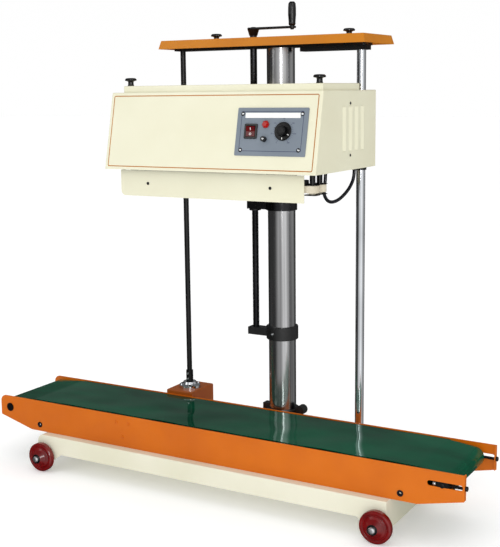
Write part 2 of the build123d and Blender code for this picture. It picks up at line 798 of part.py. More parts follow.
# Long sleeve that slides on the column, with an arm to the lead screw's nut
with BuildPart() as carriage:
    upright_rod(column_x, posts_y, (790, 1010), sleeve_radius)
    block((screw_x - 18, column_x - 30), (posts_y - 17, posts_y + 17), (790, 812))
    block((screw_x + 22, column_x - 30), (posts_y - 5, posts_y + 5), (812, head_bottom))
    upright_rod(column_x, posts_y, (780, 1020), column_radius + running_gap, Mode.SUBTRACT)
    upright_rod(screw_x, posts_y, (780, 820), 14, Mode.SUBTRACT)
save(carriage, "carriage")

# Flanged nut on the lead screw
with BuildPart() as screw_nut:
    upright_rod(screw_x, posts_y, (786, 816), 14)
    upright_rod(screw_x, posts_y, (785, 790), 17)
    upright_rod(screw_x, posts_y, (780, 820), screw_radius + running_gap, Mode.SUBTRACT)
save(screw_nut, "screw_nut")

# Front guard over the sealing line: front sheet, bottom lip and left end
with BuildPart() as lower_guard:
    with BuildSketch(upright(guard_face_y + 22)) as guard_outline:
        Polygon(
            (guard_left, guard_low),
            (guard_left, guard_high),
            (guard_right, guard_high),
            (guard_right, guard_low),
            align=None,
        )
        fillet(guard_outline.vertices().sort_by_distance((guard_left, guard_low))[0], radius=14)
    extrude(amount=22)
    with BuildSketch(upright(guard_face_y + 23)) as guard_hollow:
        Polygon(
            (guard_left + head_sheet, guard_low + head_sheet),
            (guard_left + head_sheet, guard_high + 1),
            (guard_right + 1, guard_high + 1),
            (guard_right + 1, guard_low + head_sheet),
            align=None,
        )
        inner_corner = (guard_left + head_sheet, guard_low + head_sheet)
        nearest = guard_hollow.vertices().sort_by_distance(inner_corner)[0]
        fillet(nearest, radius=14 - head_sheet)
    extrude(amount=23 - head_sheet, mode=Mode.SUBTRACT)
    lip_notch = (guard_face_y + head_sheet, guard_face_y + 23)
    block((guard_right - 25, guard_right + 1), lip_notch, (guard_low - 1, guard_low + 2), Mode.SUBTRACT)
save(lower_guard, "lower_guard")


# ---------------------------------------------------------------- sealing line

# Spindles: the driven ones carry a sealing wheel above a guide wheel
axis_rows = (("front", front_axis_y), ("rear", rear_axis_y))
for row_name, y in axis_rows:
    with BuildPart() as drive_wheel:
        upright_rod(outfeed_x, y, (guide_low - 5, 948), spindle_radius)
        upright_rod(outfeed_x, y, (guide_low - 1, guide_high + 1), guide_wheel_radius)
        upright_rod(outfeed_x, y, (band_low - 1, band_high + 1), sealing_wheel_radius)
    save(drive_wheel, f"drive_wheel_{row_name}")

    with BuildPart() as band_wheel:
        upright_rod(band_wheel_x, y, (892, 940), spindle_radius)
        upright_rod(band_wheel_x, y, (band_low - 1, band_high + 1), sealing_wheel_radius)
    save(band_wheel, f"band_wheel_{row_name}")

    with BuildPart() as guide_pulley:
        upright_rod(infeed_x, y, (guide_low - 5, 940), spindle_radius)
        upright_rod(infeed_x, y, (guide_low - 1, guide_high + 1), guide_wheel_radius)
        upright_rod(infeed_x, y, (guide_low - 3.5, guide_low - 1), 9)
    save(guide_pulley, f"guide_pulley_{row_name}")


with BuildPart() as sealing_bands:
    inner = sealing_wheel_radius + belt_gap
    for _, y in axis_rows:
        for radius, how in ((inner + band_thickness, Mode.ADD), (inner, Mode.SUBTRACT)):
            with BuildSketch(level(band_low)):
                with Locations((outfeed_x, y), (band_wheel_x, y)):
                    Circle(radius)
                make_hull()
            extrude(amount=band_high - band_low, mode=how)
save(sealing_bands, "sealing_bands")

with BuildPart() as guide_belts:
    inner = guide_wheel_radius + belt_gap
    for _, y in axis_rows:
        for radius, how in ((inner + guide_belt_thickness, Mode.ADD), (inner, Mode.SUBTRACT)):
            with BuildSketch(level(guide_low)):
                with Locations((outfeed_x, y), (infeed_x, y)):
                    Circle(radius)
                make_hull()
            extrude(amount=guide_high - guide_low, mode=how)
save(guide_belts, "guide_belts")

# Heating blocks towards the infeed and cooling blocks towards the outfeed, inside the bands
block_spans = [(-160, -30), (40, 180)]
with BuildPart() as sealing_blocks:
    for _, y in axis_rows:
        towards = 1 if y < seal_y else -1
        face = y + towards * (sealing_wheel_radius - 0.2)
        back = y - towards * 11
        for low, high in block_spans:
            block((low, high), sorted((face, back)), (895, 913))
            middle = (low + high) / 2
            block((middle - 16, middle + 16), (y - 7, y + 7), (913, head_bottom))
save(sealing_blocks, "sealing_blocks")

# Worm gear motor with a hollow output round the drive shaft
with BuildPart() as gear_motor:
    floor = head_bottom + chassis_thickness
    block((shaft_x - 38, shaft_x + 42), (posts_y - 38, posts_y + 38), (floor, 1004))
    fillet(gear_motor.edges().filter_by(Axis.Z), radius=8)
    long_rod(posts_y, 966, (shaft_x + 40, -62), 36)
    long_rod(posts_y, 966, (-62, -44), 39)
    upright_rod(shaft_x, posts_y, (floor - 1, 1005), shaft_radius + 0.5, Mode.SUBTRACT)
save(gear_motor, "gear_motor")


# ---------------------------------------------------------------- control panel

# Screwed-on plate with the switch's bezel
with BuildPart() as control_panel:
    with BuildSketch(front_plane):
        with Locations(panel_centre):
            RectangleRounded(panel_size[0], panel_size[1], 3)
    extrude(amount=2)
    with BuildSketch(front_plane.offset(2)):
        with Locations(rocker_place):
            RectangleRounded(37, 38, 2)
    extrude(amount=3)
    with BuildSketch(front_plane.offset(-1)):
        with Locations(rocker_place):
            Rectangle(27, 29)
        with Locations(dial_place, knob_place, lamp_place):
            Circle(4)
    extrude(amount=7, mode=Mode.SUBTRACT)
save(control_panel, "control_panel")

# Rocker paddle on its pivot pin, shown pressed at its lower half
rocker_axis_height = 1
rocker_half_travel = 7
rocker_width = 25.5
rocker_middle = front_plane.from_local_coords((*rocker_place, rocker_axis_height))
rocker_section = [(-12, -4), (-13, 2), (-13, 6.1), (0, 4.5), (13, 6.1), (13, 2), (12, -4)]
with BuildPart() as rocker_switch:
    with BuildSketch(Plane(origin=rocker_middle, x_dir=front_plane.y_dir, z_dir=(1, 0, 0))):
        Polygon(*rocker_section, rotation=rocker_half_travel, align=None)
    extrude(amount=rocker_width / 2, both=True)
    with BuildSketch(Plane(origin=rocker_middle, x_dir=front_plane.y_dir, z_dir=(1, 0, 0))):
        Circle(2)
    extrude(amount=rocker_width / 2 + 0.6, both=True)
save(rocker_switch, "rocker_switch")

with BuildPart() as temperature_dial:
    with BuildSketch(front_plane.offset(2.5)):
        with Locations(dial_place):
            Circle(24)
    extrude(amount=3.5)
    with BuildSketch(front_plane.offset(6)):
        with Locations(dial_place):
            Circle(14)
    extrude(amount=13, taper=5)
    with BuildSketch(front_plane.offset(-6)):
        with Locations(dial_place):
            Circle(3)
    extrude(amount=9)
save(temperature_dial, "temperature_dial")

with BuildPart() as speed_knob:
    with BuildSketch(front_plane.offset(2.5)):
        with Locations(knob_place):
            Circle(7.2)
    extrude(amount=12, taper=3)
    with BuildSketch(front_plane.offset(-6)):
        with Locations(knob_place):
            Circle(3)
    extrude(amount=9)
save(speed_knob, "speed_knob")

with BuildPart() as pilot_lamp:
    with BuildSketch(front_plane.offset(2)):
        with Locations(lamp_place):
            RegularPolygon(10.5, 6)
    extrude(amount=4)
    with BuildSketch(front_plane.offset(6)):
        with Locations(lamp_place):
            Circle(6.5)
    extrude(amount=4, taper=25)
    with BuildSketch(front_plane.offset(-12)):
        with Locations(lamp_place):
            Circle(4)
    extrude(amount=14)
save(pilot_lamp, "pilot_lamp")


# ---------------------------------------------------------------- cable loop under the head

cable_radius = 4.5
cable_route = [
    (315, -73, 920),
    (315, -73, 897),
    (313.8, -82, 873),
    (314.6, -76, 852),
    (317.6, -54, 837),
    (322.4, -18, 838),
    (327.3, 18, 852),
    (331.3, 48, 872),
    (333.8, 66, 897),
    (333.8, 66, 920),
]


def corner_radii(route):
    """Largest comfortable arc at each corner: 0.45 of the shorter run over tan of half the turn."""
    points = [Vector(*point) for point in route]
    radii = []
    for before, here, after in zip(points, points[1:], points[2:]):
        run_in = here - before
        run_out = after - here
        half_turn = radians(run_in.get_angle(run_out)) / 2
        radii.append(0.45 * min(run_in.length, run_out.length) / tan(half_turn))
    return radii


cable_radii = corner_radii(cable_route)
print("cable radii", [round(radius, 1) for radius in cable_radii])
with BuildPart() as link_cable:
    with BuildLine() as cable_line:
        FilletPolyline(*cable_route, radius=cable_radii)
    cable_path = cable_line.wire()
    with BuildSketch(Plane(origin=cable_route[0], z_dir=cable_path % 0)):
        Circle(cable_radius)
    sweep(path=cable_path)
section_volume = pi * cable_radius**2 * cable_path.length
print("cable length", round(cable_path.length, 1))
print("cable volume over section times length", round(link_cable.part.volume / section_volume, 4))
save(link_cable, "link_cable")
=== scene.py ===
"""Looks of the continuous band sealer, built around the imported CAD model.

Places on the machine are in metres. Sections and outlines are in the millimetres of the frame that they
are drawn in, which facing() makes.
"""
import json
from math import acos, cos, hypot, pi, radians, sin, tan

import bmesh
import bpy
from mathutils import Matrix, Vector


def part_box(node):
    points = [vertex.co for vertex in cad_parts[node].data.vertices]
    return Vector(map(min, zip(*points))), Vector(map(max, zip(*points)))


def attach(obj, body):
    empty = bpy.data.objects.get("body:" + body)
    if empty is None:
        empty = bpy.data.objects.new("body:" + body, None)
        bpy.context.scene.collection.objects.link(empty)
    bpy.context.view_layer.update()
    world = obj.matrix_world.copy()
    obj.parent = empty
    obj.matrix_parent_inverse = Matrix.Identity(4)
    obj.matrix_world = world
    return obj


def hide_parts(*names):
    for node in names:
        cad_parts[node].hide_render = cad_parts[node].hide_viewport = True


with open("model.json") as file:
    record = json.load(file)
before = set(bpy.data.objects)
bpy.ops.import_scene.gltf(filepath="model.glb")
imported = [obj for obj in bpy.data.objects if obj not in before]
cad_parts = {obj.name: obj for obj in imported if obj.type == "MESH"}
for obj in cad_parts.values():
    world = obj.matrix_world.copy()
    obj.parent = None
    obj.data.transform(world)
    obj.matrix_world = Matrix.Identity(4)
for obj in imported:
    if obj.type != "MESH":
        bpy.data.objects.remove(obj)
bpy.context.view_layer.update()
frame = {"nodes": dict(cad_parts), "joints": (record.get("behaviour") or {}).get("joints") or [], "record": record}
nodes = frame["nodes"]
joints = {joint["name"]: joint for joint in frame["joints"]}

UP = Vector((0, 0, 1))
ALONG = Vector((1, 0, 0))
FRONT = Vector((0, -1, 0))


# ---- camera and cable

def linked(name, data):
    """A new object in the scene."""
    made = bpy.data.objects.new(name, data)
    bpy.context.scene.collection.objects.link(made)
    return made


CAMERA_PLACE = (1.5304, -2.5705, 1.1282)
CAMERA_HEADING = 30.45
CAMERA_DIP = 9.55
CAMERA_ROLL = -0.69


def make_camera():
    """Camera before the right end, level with the head, looking slightly down."""
    data = bpy.data.cameras.new("camera")
    data.lens = 69.8
    data.sensor_width = 36
    data.shift_x = 0.0126
    data.shift_y = -0.0064
    data.clip_end = 60
    camera = linked("camera", data)
    turn = Matrix.Rotation(radians(CAMERA_HEADING), 4, "Z")
    tilt = Matrix.Rotation(radians(90 - CAMERA_DIP), 4, "X")
    roll = Matrix.Rotation(radians(CAMERA_ROLL), 4, "Z")
    camera.matrix_world = Matrix.Translation(CAMERA_PLACE) @ turn @ tilt @ roll
    bpy.context.scene.camera = camera


CABLE_DIAMETER = 0.009
CABLE_ROUTE = [
    (0.315, -0.073, 0.920),
    (0.315, -0.073, 0.897),
    (0.3138, -0.082, 0.873),
    (0.3146, -0.076, 0.852),
    (0.3176, -0.054, 0.837),
    (0.3224, -0.018, 0.838),
    (0.3273, 0.018, 0.852),
    (0.3313, 0.048, 0.872),
    (0.3338, 0.066, 0.897),
    (0.3338, 0.066, 0.920),
]


def make_cable():
    """The black cable that hangs in a loop under the head."""
    curve = bpy.data.curves.new("cable", "CURVE")
    curve.dimensions = "3D"
    curve.bevel_depth = CABLE_DIAMETER / 2
    curve.bevel_resolution = 8
    curve.resolution_u = 16
    curve.use_fill_caps = True
    spline = curve.splines.new("NURBS")
    spline.points.add(len(CABLE_ROUTE) - 1)
    for point, place in zip(spline.points, CABLE_ROUTE):
        point.co = (*place, 1)
    spline.order_u = 3
    spline.use_endpoint_u = True
    return linked("cable", curve)


# ---- materials

def linear(shade):
    """Linear colour from display values of 0 to 255."""
    shares = [value / 255 for value in shade]
    return (*[x / 12.92 if x <= 0.04045 else ((x + 0.055) / 1.055) ** 2.4 for x in shares], 1)


def new_node(tree, kind, *sources):
    """A new shader node, with its first inputs linked to the sources."""
    made = tree.nodes.new("ShaderNode" + kind)
    for source, socket in zip(sources, made.inputs):
        tree.links.new(source, socket)
    return made


def map_range(tree, source, start, end, low, high, kind="LINEAR"):
    """Number that goes from low to high as the source goes from start to end."""
    spread = new_node(tree, "MapRange", source)
    spread.interpolation_type = kind
    for socket, value in zip(spread.inputs[1:5], (start, end, low, high)):
        socket.default_value = value
    return spread.outputs["Result"]


NOISE_SPAN = (0.35, 0.65)


class Finish:
    """A node material: one Principled shader, with noise behind its colour, roughness and relief."""

    def __init__(self, name, metallic=0.0, ior=1.5, coat=0.0, coat_roughness=0.1):
        self.material = bpy.data.materials.new(name)
        self.material.use_nodes = True
        self.tree = self.material.node_tree
        self.shader = self.tree.nodes["Principled BSDF"]
        self.shader.inputs["Metallic"].default_value = metallic
        self.shader.inputs["IOR"].default_value = ior
        self.shader.inputs["Coat Weight"].default_value = coat
        self.shader.inputs["Coat Roughness"].default_value = coat_roughness
        self.place = new_node(self.tree, "TexCoord").outputs["Object"]

    def link(self, source, target):
        """Join an output to an input."""
        self.tree.links.new(source, target)

    def noise(self, scale, stretch=(1, 1, 1), detail=3.0):
        """Noise in object space; scale is in cycles a metre, and stretch multiplies it along each axis."""
        mapping = new_node(self.tree, "Mapping", self.place)
        mapping.inputs["Scale"].default_value = stretch
        texture = new_node(self.tree, "TexNoise", mapping.outputs["Vector"])
        texture.inputs["Scale"].default_value = scale
        texture.inputs["Detail"].default_value = detail
        return texture.outputs["Fac"]

    def colour(self, factor, low, high):
        """Base colour that goes from low to high, in display values, with a factor."""
        ramp = new_node(self.tree, "ValToRGB", factor)
        for element, position, shade in zip(ramp.color_ramp.elements, NOISE_SPAN, (low, high)):
            element.position = position
            element.color = linear(shade)
        self.link(ramp.outputs["Color"], self.shader.inputs["Base Color"])

    def roughness(self, factor, low, high):
        """Roughness that goes from low to high with a factor."""
        self.link(map_range(self.tree, factor, *NOISE_SPAN, low, high), self.shader.inputs["Roughness"])

    def bump(self, factor, strength, distance):
        """Relief that follows a factor; distance is its full depth in metres."""
        bump = new_node(self.tree, "Bump")
        bump.inputs["Strength"].default_value = strength
        bump.inputs["Distance"].default_value = distance
        self.link(factor, bump.inputs["Height"])
        self.link(bump.outputs["Normal"], self.shader.inputs["Normal"])


def paint(name, low, high, roughness=(0.28, 0.36), coat=0.15):
    """Sprayed enamel: faint cloudiness, and the orange peel of a sprayed coat."""
    finish = Finish(name, ior=1.38, coat=coat, coat_roughness=0.12)
    finish.colour(finish.noise(4.0, detail=4.0), low, high)
    finish.roughness(finish.noise(35.0), *roughness)
    finish.bump(finish.noise(420.0, detail=1.5), 0.06, 0.0004)
    return finish.material


def metal(name, low, high, roughness, stretch=(1, 1, 1), scale=300.0, grain=0.12):
    """Bare or plated metal, with fine tool marks drawn out along one direction."""
    finish = Finish(name, metallic=1.0)
    finish.colour(finish.noise(6.0, stretch=stretch, detail=5.0), low, high)
    finish.roughness(finish.noise(scale / 3, stretch=stretch), *roughness)
    finish.bump(finish.noise(scale, stretch=stretch, detail=2.0), grain, 0.0002)
    return finish.material


def moulded(name, low, high, roughness=(0.3, 0.4), texture=0.05, ior=1.5):
    """Moulded plastic or rubber with a faint skin texture."""
    finish = Finish(name, ior=ior)
    finish.colour(finish.noise(25.0), low, high)
    finish.roughness(finish.noise(120.0), *roughness)
    finish.bump(finish.noise(900.0, detail=1.0), texture, 0.0003)
    return finish.material


def cast(name, low, high):
    """Sand casting under black paint."""
    finish = Finish(name, coat=0.1, coat_roughness=0.3)
    finish.colour(finish.noise(60.0), low, high)
    finish.roughness(finish.noise(150.0), 0.38, 0.55)
    finish.bump(finish.noise(330.0, detail=4.0), 0.35, 0.0008)
    return finish.material


def belt_material():
    """Glossy green PVC: cloudy colour, and gloss and fine scuffs drawn out along the travel."""
    finish = Finish("belt_pvc", ior=1.42)
    finish.shader.inputs["Specular Tint"].default_value = (0.15, 1.0, 0.65, 1)
    finish.colour(finish.noise(3.0, stretch=(1.0, 2.5, 1.0), detail=6.0), (0, 50, 32), (2, 80, 54))
    finish.roughness(finish.noise(14.0, stretch=(0.4, 5.0, 1.0)), 0.05, 0.1)
    finish.bump(finish.noise(500.0, stretch=(0.3, 1.0, 1.0)), 0.03, 0.0003)
    return finish.material


def lamp_material():
    """Clear red lens."""
    finish = Finish("lamp_lens", ior=1.49)
    finish.shader.inputs["Transmission Weight"].default_value = 0.25
    finish.colour(finish.noise(60.0), (172, 16, 10), (196, 28, 18))
    finish.roughness(finish.noise(200.0), 0.08, 0.16)
    return finish.material


def make_materials():
    """Every finish on the machine, by a short name."""
    return {
        "cream": paint("cream_paint", (228, 225, 198), (233, 231, 206)),
        "tray": paint("tray_paint", (226, 224, 200), (234, 232, 212)),
        "orange": paint("orange_paint", (202, 98, 0), (216, 110, 0), (0.34, 0.44), coat=0.1),
        "amber": paint("amber_paint", (196, 116, 4), (208, 128, 10), (0.34, 0.44), coat=0.1),
        # The gearbox cover takes a darker copy of the orange paint: the darkening is painted shade, not a paint of
        # its own.
        "gearbox": paint("gearbox_paint", (156, 76, 12), (172, 88, 18), (0.34, 0.44), coat=0.1),
        "stripe": paint("stripe_paint", (172, 104, 14), (186, 116, 22)),
        "panel": paint("panel_paint", (116, 126, 137), (128, 138, 149), (0.4, 0.5)),
        "panel_ink": moulded("panel_ink", (30, 40, 78), (40, 50, 88)),
        "knob": moulded("knob_black", (3, 3, 4), (7, 7, 8), (0.24, 0.34), texture=0.02, ior=1.4),
        "label": moulded("label_white", (240, 240, 236), (250, 250, 247)),
        "motor": paint("motor_paint", (82, 88, 94), (92, 98, 104)),
        "black": paint("black_paint", (8, 8, 10), (15, 15, 17), (0.26, 0.36), coat=0.05),
        "cast": cast("cast_black", (13, 13, 14), (23, 23, 24)),
        "bakelite": moulded("bakelite", (5, 5, 6), (11, 11, 12), (0.14, 0.22), texture=0.02),
        "rubber": moulded("cable_rubber", (6, 7, 16), (12, 14, 28), (0.22, 0.32)),
        "red": moulded("wheel_red", (98, 3, 6), (122, 8, 9), (0.12, 0.22), texture=0.03),
        "rocker": moulded("rocker_red", (72, 4, 8), (92, 8, 12), (0.12, 0.2), texture=0.0),
        "lens": lamp_material(),
        "belt": belt_material(),
        "pulley": moulded("pulley_cream", (222, 213, 190), (234, 226, 206)),
        "guide": moulded("guide_rubber", (206, 196, 172), (220, 211, 188), (0.45, 0.6)),
        "band": moulded("coated_cloth", (150, 108, 70), (170, 126, 84), (0.35, 0.5)),
        "column": metal(
            "ground_steel", (140, 140, 141), (212, 212, 213), (0.14, 0.24), (9, 9, 0.12), 90.0, grain=0.2
        ),
        "chrome": metal("chrome_plate", (205, 208, 212), (225, 228, 232), (0.05, 0.1), grain=0.02),
        "zinc": metal("zinc_plate", (196, 198, 200), (222, 224, 226), (0.16, 0.28)),
        "steel": metal("turned_steel", (160, 160, 162), (190, 190, 192), (0.2, 0.34)),
        "dark": metal("oiled_steel", (44, 44, 46), (66, 66, 69), (0.22, 0.36)),
        # Slider bed steel, far darker than bare sheet: partly the steel's own colour, partly painted shade for the
        # dark line in the gaps beside the belt.
        "sheet": metal("sheet_steel_painted_gap_shade", (58, 59, 61), (76, 77, 79), (0.36, 0.48)),
        "alloy": metal("milled_alloy", (222, 223, 225), (238, 239, 241), (0.3, 0.4)),
    }


finishes = {}

CAD_FINISHES = {
    "cream": ["head_cover", "head_lid", "lower_guard"],
    "tray": ["base_tray"],
    "orange": ["rail_front", "rail_rear", "frame_bolts"],
    "amber": ["top_cover"],
    # Darker orange with painted shade in it, for the gearbox cover behind the belt.
    "gearbox": ["gearbox_cover"],
    "panel": ["control_panel"],
    "motor": ["gear_motor"],
    "black": [
        "drive_roller", "roller_bearings", "take_up_blocks", "shaft_coupling", "drive_shaft", "top_plate",
        "crank_arm", "chassis_plate", "screw_nut",
    ],
    "cast": ["cast_feet", "column_clamp"],
    "bakelite": ["cover_knobs", "lid_knobs", "crank_grip", "temperature_dial", "speed_knob"],
    "rubber": ["link_cable"],
    "red": ["wheel_front_left", "wheel_front_right", "wheel_rear_left", "wheel_rear_right"],
    "rocker": ["rocker_switch"],
    "lens": ["pilot_lamp"],
    "belt": ["conveyor_belt"],
    "pulley": ["drive_wheel_front", "drive_wheel_rear", "guide_pulley_front", "guide_pulley_rear"],
    "guide": ["guide_belts"],
    "band": ["sealing_bands"],
    "column": ["column"],
    "chrome": ["guide_post", "shaft_flange"],
    "zinc": ["axle_nuts", "wheel_axles"],
    "steel": ["tail_roller", "band_wheel_front", "band_wheel_rear"],
    "dark": [
        "lead_screw", "carriage", "tail_axle", "take_up_screws", "bevel_pinion", "bevel_gear_shaft",
        "chain_sprocket", "roller_sprocket", "drive_chain",
    ],
    # Dark steel of the slider bed, partly painted shade in the gaps beside the belt.
    "sheet": ["slider_bed"],
    "alloy": ["sealing_blocks"],
}


def finish_cad_nodes():
    """Give each CAD node its finish."""
    for finish_name, names in CAD_FINISHES.items():
        for name in names:
            slots = nodes[name].material_slots
            for slot in slots:
                slot.material = finishes[finish_name]
            if not slots:
                nodes[name].data.materials.append(finishes[finish_name])


# ---- mesh tools

SHARP_ANGLE = radians(38)


def finished_mesh(name, shape):
    """Mesh of a bmesh, with its faces turned outward."""
    bmesh.ops.recalc_face_normals(shape, faces=shape.faces)
    mesh = bpy.data.meshes.new(name)
    shape.to_mesh(mesh)
    shape.free()
    return mesh


def put(name, shape, body, finish, smooth=True):
    """Make an object of a bmesh, give it its finish, and let it ride on a body."""
    mesh = finished_mesh(name, shape)
    piece = linked(name, mesh)
    mesh.materials.append(finishes[finish])
    if smooth:
        mesh.shade_smooth()
        mesh.set_sharp_from_angle(angle=SHARP_ANGLE)
    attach(piece, body)
    return piece


def facing(place, direction):
    """Frame at a place, in millimetres, whose local Z points along a direction."""
    heading = UP.rotation_difference(Vector(direction)).to_matrix().to_4x4()
    return Matrix.Translation(place) @ heading @ Matrix.Scale(0.001, 4)


def shifted(place, x, y, z):
    """The same frame, moved in its own directions."""
    return place @ Matrix.Translation((x, y, z))


def rounded(points, radius, steps=4):
    """An open outline with each inner corner turned into an arc, as large as its two sides allow."""
    result = [points[0]]
    for before, here, after in zip(points, points[1:], points[2:]):
        corner = Vector(here)
        back, ahead = Vector(before) - corner, Vector(after) - corner
        turn = pi - back.angle(ahead)
        if turn < 0.05:
            result.append(here)
            continue
        reach = min(radius * tan(turn / 2), 0.45 * back.length, 0.45 * ahead.length)
        start, end = corner + back.normalized() * reach, corner + ahead.normalized() * reach
        for step in range(steps + 1):
            share = step / steps
            blend = start * (1 - share) ** 2 + corner * 2 * share * (1 - share) + end * share**2
            result.append(tuple(blend))
    result.append(points[-1])
    return result


def skin_into(shape, rows, looped=False):
    """Faces between neighbouring closed rows of points; a row of one point is a tip."""
    pairs = list(zip(rows, rows[1:]))
    if looped:
        pairs.append((rows[-1], rows[0]))
    for low, high in pairs:
        for step in range(max(len(low), len(high))):
            here = (low[step % len(low)], high[step % len(high)])
            after = (low[(step + 1) % len(low)], high[(step + 1) % len(high)])
            shape.faces.new(list(dict.fromkeys((here[0], after[0], after[1], here[1]))))


def loft_into(shape, loops, place, looped=False):
    """Skin over a row of outlines, each a list of (x, y) pairs and a height.

    The first and last outlines are capped, or joined to each other when looped.
    """
    rows = []
    for outline, height in loops:
        rows.append([shape.verts.new(place @ Vector((x, y, height))) for x, y in outline])
    if not looped:
        shape.faces.new(rows[0])
        shape.faces.new(rows[-1])
    skin_into(shape, rows, looped)


def circle_into(shape, place, height, around, reach):
    """Row of points round the place's local Z; reach gives the radius at each angle."""
    row = []
    for step in range(around):
        angle = 2 * pi * step / around
        radius = reach(angle)
        row.append(shape.verts.new(place @ Vector((radius * cos(angle), radius * sin(angle), height))))
    return row


def fluted(radius, flutes):
    """Reach of a round row, with flutes cut into it from their own radius outward."""
    if not flutes or radius < flutes[2]:
        return lambda angle: radius
    count, depth, _ = flutes
    return lambda angle: radius - depth * max(0, cos(count * angle)) ** 2


def lathe_into(shape, profile, place, around=48, ring=False, flutes=None):
    """Turn a profile of (radius, height) pairs round the place's local Z.

    A solid's profile starts and ends on the axis; a ring's profile is closed round its own section.
    Flutes are a count, a depth and the radius from which they are cut.
    """
    rows = []
    for radius, height in profile:
        if radius < 1e-6:
            rows.append([shape.verts.new(place @ Vector((0, 0, height)))])
        else:
            rows.append(circle_into(shape, place, height, around, fluted(radius, flutes)))
    skin_into(shape, rows, ring)


def slab_into(shape, outline, low, high, place, edge):
    """Plate of any outline about its middle, with its top and bottom edges eased by scaling them in."""
    width = max(abs(x) for x, _ in outline)
    height = max(abs(y) for _, y in outline)
    inner = [(x * (1 - edge / width), y * (1 - edge / height)) for x, y in outline]
    loft_into(shape, [(inner, low), (outline, low + edge), (outline, high - edge), (inner, high)], place)


def arc(x, y, radius, start, sweep, steps):
    """Points along an arc about (x, y), both of its ends included."""
    angles = [start + sweep * step / steps for step in range(steps + 1)]
    return [(x + radius * cos(angle), y + radius * sin(angle)) for angle in angles]


def polygon_outline(count, radius, turn=0.0):
    """Corners of a regular polygon."""
    return arc(0, 0, radius, turn, 2 * pi, count)[:-1]


def rectangle_outline(width, height, radius, steps=5):
    """Rectangle about the origin with round corners."""
    points = []
    x, y = width / 2 - radius, height / 2 - radius
    for quarter, centre in enumerate(((x, y), (-x, y), (-x, -y), (x, -y))):
        points += arc(*centre, radius, pi / 2 * quarter, pi / 2, steps)
    return points


def frame_into(shape, length, width, radius, border, low, high, place, edge=0.0):
    """Rectangular frame with round corners; border is the width of its four sides."""
    def outline(inset):
        return rectangle_outline(length - 2 * inset, width - 2 * inset, max(radius - inset, 0.2))
    outer = [(0, low), (0, high - edge), (edge, high)]
    section = outer + [(border - edge, high), (border, high - edge), (border, low)]
    loops = [(outline(inset), height) for inset, height in dict.fromkeys(section)]
    loft_into(shape, loops, place, looped=True)


def bar_outline(length, first_radius, last_radius, steps=14):
    """Outline of a bar along X with round ends: the first about the origin, the last a length away."""
    half = acos((first_radius - last_radius) / length)
    last = arc(length, 0, last_radius, -half, 2 * half, steps)
    return last + arc(0, 0, first_radius, half, 2 * (pi - half), steps)


def hexagon_reach(angle, flat):
    """Distance from the centre of a hexagon to its edge; flat is half the width across flats."""
    sector = (angle + pi / 6) % (pi / 3) - pi / 6
    return flat / cos(sector)


def cross_reach(angle, arm, half_width):
    """Distance from the centre of a cross recess to its edge."""
    quarter = (angle + pi / 4) % (pi / 2) - pi / 4
    along = arm / cos(quarter)
    across = half_width / abs(sin(quarter)) if abs(sin(quarter)) > 1e-6 else along
    inner = hypot(half_width, half_width)
    return max(min(along, across), inner * 0.9)


HEAD_STEPS = 48


def screw_head_into(shape, place, profile, recess, depth):
    """A turned head, from its seat to the edge of its recess, with a recess of any outline."""
    lathe_into(shape, profile, place, HEAD_STEPS)
    rim, top = profile[-1]
    levels = [
        (top, lambda angle: rim),
        (top, lambda angle: min(recess(angle), rim * 0.97)),
        (top - depth, lambda angle: min(recess(angle), rim * 0.97) * 0.92),
    ]
    rows = [circle_into(shape, place, level, HEAD_STEPS, reach) for level, reach in levels]
    skin_into(shape, rows)
    shape.faces.new(rows[-1])
    bmesh.ops.remove_doubles(shape, verts=shape.verts, dist=1e-7)


def pan_head_into(shape, place, radius, height):
    """Round-topped screw with a cross recess."""
    def recess(angle):
        return cross_reach(angle, radius * 0.5, radius * 0.13)
    profile = rounded([(0, 0), (radius, 0), (radius, height * 0.45), (radius * 0.55, height)], height * 0.5)
    screw_head_into(shape, place, profile, recess, height * 0.5)


def socket_head_into(shape, place, radius, height):
    """Cap screw with a hexagon socket."""
    edge = radius * 0.12
    profile = [(0, 0), (radius, 0), (radius, height - edge), (radius - edge, height), (radius * 0.7, height)]
    screw_head_into(shape, place, profile, lambda angle: hexagon_reach(angle, radius * 0.5), height * 0.6)


def hex_head_into(shape, place, flat, height, bore=0.0):
    """Hexagon head or nut with turned corners; flat is half the width across flats."""
    whole = flat * 2
    levels = [(0, flat * 1.08), (height * 0.1, whole), (height * 0.82, whole)]
    levels += [(height, flat * 0.97), (height, flat * 0.9)]
    if bore:
        levels += [(height, bore), (0, bore)]
    rows = []
    for level, limit in levels:
        def turned(angle, limit=limit):
            return min(hexagon_reach(angle, flat), limit)
        rows.append(circle_into(shape, place, level, HEAD_STEPS, turned))
    skin_into(shape, rows, looped=bool(bore))
    if not bore:
        shape.faces.new(rows[0])
        shape.faces.new(rows[-1])


def thread_into(shape, place, core, crest, pitch, low, high, around=24):
    """A right-handed ridge wound round the place's local Z, from low to high, closed at both ends."""
    count = round((high - low - pitch) / pitch * around)
    sections = []
    for step in range(count + 1):
        angle = 2 * pi * step / around
        base = low + pitch * step / around
        taper = min(1.0, step / (around / 2), (count - step) / (around / 2))
        tip = core + (crest - core) * max(taper, 0.05)
        root = core - crest * 0.02
        section = []
        for reach, rise in ((root, 0.08), (tip, 0.38), (tip, 0.62), (root, 0.92)):
            point = Vector((reach * cos(angle), reach * sin(angle), base + rise * pitch))
            section.append(shape.verts.new(place @ point))
        sections.append(section)
    skin_into(shape, sections)
    shape.faces.new(sections[0])
    shape.faces.new(sections[-1])


def middle(node):
    """Middle of a CAD node's box."""
    low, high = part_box(node)
    return (low + high) / 2


# ---- stage

KEY_PLACE = (1.9, -3.0, 1.45)
KEY_SIZE = (0.35, 1.7)
KEY_POWER = 26
FILL_PLACE = (-2.4, -3.4, 2.4)
FILL_SIZE = (2.2, 2.2)
FILL_POWER = 16
TOWARDS_KEY = (0.53, -0.85, 0.0)
